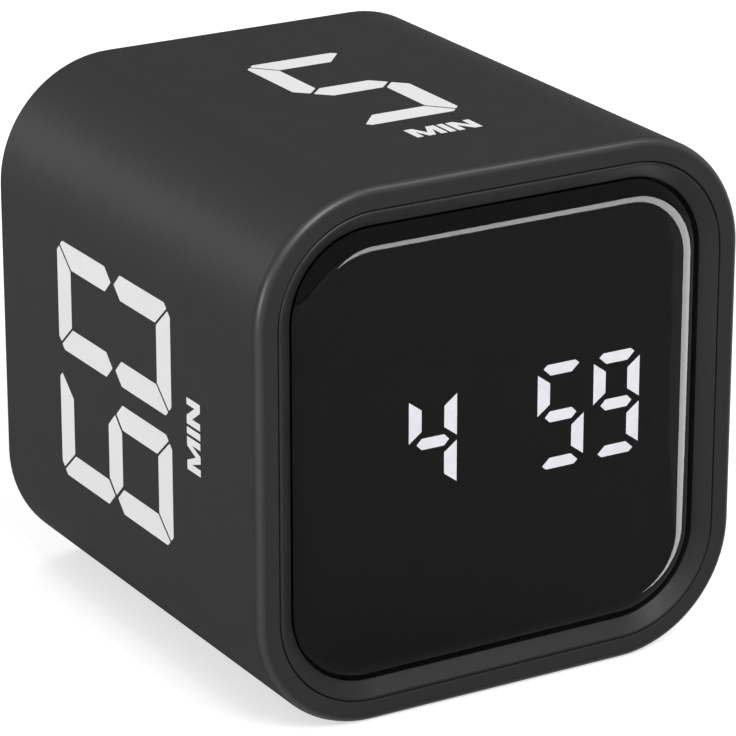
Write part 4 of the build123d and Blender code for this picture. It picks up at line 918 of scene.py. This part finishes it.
def digit_bars():
    """The corner points of the seven bars of a digit, in millimetres."""
    inner_u, inner_v = DIGIT_HALF_W - POST, DIGIT_HALF_H - BAR
    outer_u, outer_v = DIGIT_HALF_W - CHAMFER / 2, DIGIT_HALF_H - CHAMFER / 2
    way = Vector((outer_u - inner_u, outer_v - inner_v)).normalized()
    side = Vector((-way.y, way.x)) * MITRE_GAP / 2
    near_bar = Vector((outer_u, outer_v)) + side
    near_post = Vector((outer_u, outer_v)) - side
    bar_inner = crossing(near_bar, way, inner_v)
    post_inner_v = near_post.y - (near_post.x - inner_u) * way.y / way.x
    bar_points = [(DIGIT_HALF_W - CHAMFER, DIGIT_HALF_H), tuple(near_bar), bar_inner]
    top = [(-u, v) for u, v in reversed(bar_points)] + bar_points
    top = top[3:] + top[:3]
    post_mid = DIGIT_HALF_W - POST / 2
    post = [tuple(near_post), (DIGIT_HALF_W, DIGIT_HALF_H - CHAMFER), (DIGIT_HALF_W, TIP_GAP + POST / 2)]
    post += [(post_mid, TIP_GAP), (inner_u, TIP_GAP + POST / 2), (inner_u, post_inner_v)]
    reach = post_mid - MIDDLE_GAP
    shoulder = reach - BAR / 2
    lower = [(reach, 0), (shoulder, -BAR / 2), (-shoulder, -BAR / 2)]
    middle = lower + [(-u, -v) for u, v in lower]
    bars = {"top": top, "middle": middle, "upper_right": post}
    bars["bottom"] = [(u, -v) for u, v in top]
    bars["upper_left"] = [(-u, v) for u, v in post]
    bars["lower_right"] = [(u, -v) for u, v in post]
    bars["lower_left"] = [(-u, -v) for u, v in post]
    return bars


BARS = digit_bars()
LEFT = ["upper_left", "lower_left"]
RIGHT = ["upper_right", "lower_right"]
LEVELS = ["top", "middle", "bottom"]
LIT_BARS = {
    "0": ["top", "bottom"] + LEFT + RIGHT,
    "1": RIGHT,
    "3": LEVELS + RIGHT,
    "5": LEVELS + ["upper_left", "lower_right"],
    "6": LEVELS + LEFT + ["lower_right"],
}
print("bars", {name: len(points) for name, points in BARS.items()})

# %% Letters of the unit word
CAP = 2.95
STEM = 0.78
M_WIDE = 3.75
N_WIDE = 2.95
LETTER_GAP = 0.33
M_SHOULDER = 1.05
M_DIP = 1.05
M_INNER = 1.9
M_FOOT = 0.42
N_SHOULDER = 0.95
N_LOW = 1.2
N_HIGH = 1.75

LETTER_M = [(0, 0), (0, CAP), (M_SHOULDER, CAP), (M_WIDE / 2, M_DIP), (M_WIDE - M_SHOULDER, CAP)]
LETTER_M += [(M_WIDE, CAP), (M_WIDE, 0), (M_WIDE - STEM, 0), (M_WIDE - STEM, M_INNER)]
LETTER_M += [(M_WIDE / 2 + M_FOOT, 0), (M_WIDE / 2 - M_FOOT, 0), (STEM, M_INNER), (STEM, 0)]
LETTER_I = [(0, 0), (0, CAP), (STEM, CAP), (STEM, 0)]
LETTER_N = [(0, 0), (0, CAP), (N_SHOULDER, CAP), (N_WIDE - STEM, N_LOW), (N_WIDE - STEM, CAP)]
LETTER_N += [(N_WIDE, CAP), (N_WIDE, 0), (N_WIDE - N_SHOULDER, 0), (STEM, N_HIGH), (STEM, 0)]


def unit_word():
    """The outlines of the three letters, side by side and centred."""
    total = M_WIDE + STEM + N_WIDE + 2 * LETTER_GAP
    starts = [-total / 2, -total / 2 + M_WIDE + LETTER_GAP, total / 2 - N_WIDE]
    letters = zip((LETTER_M, LETTER_I, LETTER_N), starts)
    return [[(u + start, v) for u, v in letter] for letter, start in letters]


print("letters", [len(letter) for letter in unit_word()])

# %% Print on a face


def ink_plates(name, outlines, place, round_by=0.0):
    """Thin plates of ink from flat outlines in millimetres, moved to a face by a matrix."""
    shape = bmesh.new()
    for outline in outlines:
        corners = [shape.verts.new((u * MM, v * MM, -INK_UNDER)) for u, v in outline]
        shape.faces.new(corners)
    if round_by > 0:
        bmesh.ops.bevel(
            shape, geom=shape.verts[:], offset=round_by * MM,
            affect="VERTICES", segments=2, profile=0.5, material=-1,
        )
    bmesh.ops.recalc_face_normals(shape, faces=shape.faces[:])
    raised = bmesh.ops.extrude_face_region(shape, geom=shape.faces[:], use_keep_orig=True)
    lifted = [part for part in raised["geom"] if isinstance(part, bmesh.types.BMVert)]
    bmesh.ops.translate(shape, verts=lifted, vec=(0, 0, INK_UNDER + INK_OVER))
    bmesh.ops.recalc_face_normals(shape, faces=shape.faces[:])
    bmesh.ops.transform(shape, matrix=place, verts=shape.verts[:])
    mesh = bpy.data.meshes.new(name)
    shape.to_mesh(mesh)
    shape.free()
    mesh.materials.append(ink_finish)
    piece = bpy.data.objects.new(name, mesh)
    scene.collection.objects.link(piece)
    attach(piece, "housing")


def on_face(origin, reading, upright):
    """A matrix that lays flat outlines on a face, reading along one way."""
    outward = reading.cross(upright)
    turn = Matrix((reading, upright, outward)).transposed().to_4x4()
    return Matrix.Translation(origin) @ turn


DIGIT_PITCH = 15.0
NUMBER_RISE = 2.2
WORD_DROP = -16.05 - CAP / 2
WORD_SHIFT = 0.7
BACK = Vector((0, 1, 0))
SIDES = {
    "top": ("5", Vector((0, 0, 2 * HALF)), Vector((1, 0, 0))),
    "left": ("60", Vector((-HALF, 0, HALF)), Vector((0, 0, 1))),
    "bottom": ("30", Vector((0, 0, 0)), Vector((-1, 0, 0))),
    "right": ("15", Vector((HALF, 0, HALF)), Vector((0, 0, -1))),
}

for side, (number, origin, reading) in SIDES.items():
    outlines = []
    for place, digit in enumerate(number):
        shift = (place - (len(number) - 1) / 2) * DIGIT_PITCH
        for bar in LIT_BARS[digit]:
            outlines.append([(u + shift, v + NUMBER_RISE) for u, v in BARS[bar]])
    face = on_face(origin, reading, BACK)
    ink_plates("number_" + side, outlines, face, BAR_ROUND)
    word = [[(u + WORD_SHIFT, v + WORD_DROP) for u, v in letter] for letter in unit_word()]
    ink_plates("unit_" + side, word, face)
    print("print", side, number, len(outlines), "bars")

# %% [markdown]
# ### Marks of the rear controls
#
# The photograph doesn't show the rear, so its marks are guessed and plain: a letter each for the
# minutes and the seconds, the usual start and stop signs, and bars for the loudness. They could be
# sunk into the cover, but a rear as plain as this one is mostly printed in the same ink.

# %% Rear marks
MARK_SCALE = 0.5
MARK_Z = 42.5
COVER_FACE = 28.8
S_WIDE = 2.6
STROKE = 0.68
S_LOW = (CAP - STROKE) / 2
S_HIGH = (CAP + STROKE) / 2

LETTER_S = [(0, 0), (S_WIDE, 0), (S_WIDE, S_HIGH), (STROKE, S_HIGH), (STROKE, CAP - STROKE)]
LETTER_S += [(S_WIDE, CAP - STROKE), (S_WIDE, CAP), (0, CAP), (0, S_LOW), (S_WIDE - STROKE, S_LOW)]
LETTER_S += [(S_WIDE - STROKE, STROKE), (0, STROKE)]


def upright_bar(start, tall):
    """The outline of one standing bar."""
    return [(start, 0), (start + STROKE, 0), (start + STROKE, tall), (start, tall)]


ARROW_LONG = 2.5
PAUSE_BARS = (3.2, 4.6)
LEVEL_PITCH = 2.0
LEVEL_COUNT = 3

arrow = [(0, 0), (ARROW_LONG, CAP / 2), (0, CAP)]
start_sign = [arrow] + [upright_bar(start, CAP) for start in PAUSE_BARS]
level_sign = [upright_bar(n * LEVEL_PITCH, CAP * (n + 1) / LEVEL_COUNT) for n in range(LEVEL_COUNT)]
MARKS = {
    "minute": (15.4, [LETTER_M]),
    "second": (6.6, [LETTER_S]),
    "start": (-2.2, start_sign),
    "volume": (-13.5, level_sign),
}

for control, (across, outlines) in MARKS.items():
    wide = max(u for outline in outlines for u, v in outline)
    small = [[((u - wide / 2) * MARK_SCALE, v * MARK_SCALE) for u, v in outline] for outline in outlines]
    spot = Vector((across * MM, COVER_FACE * MM, MARK_Z * MM))
    ink_plates("mark_" + control, small, on_face(spot, Vector((-1, 0, 0)), Vector((0, 0, 1))))
print("rear marks", len(MARKS))
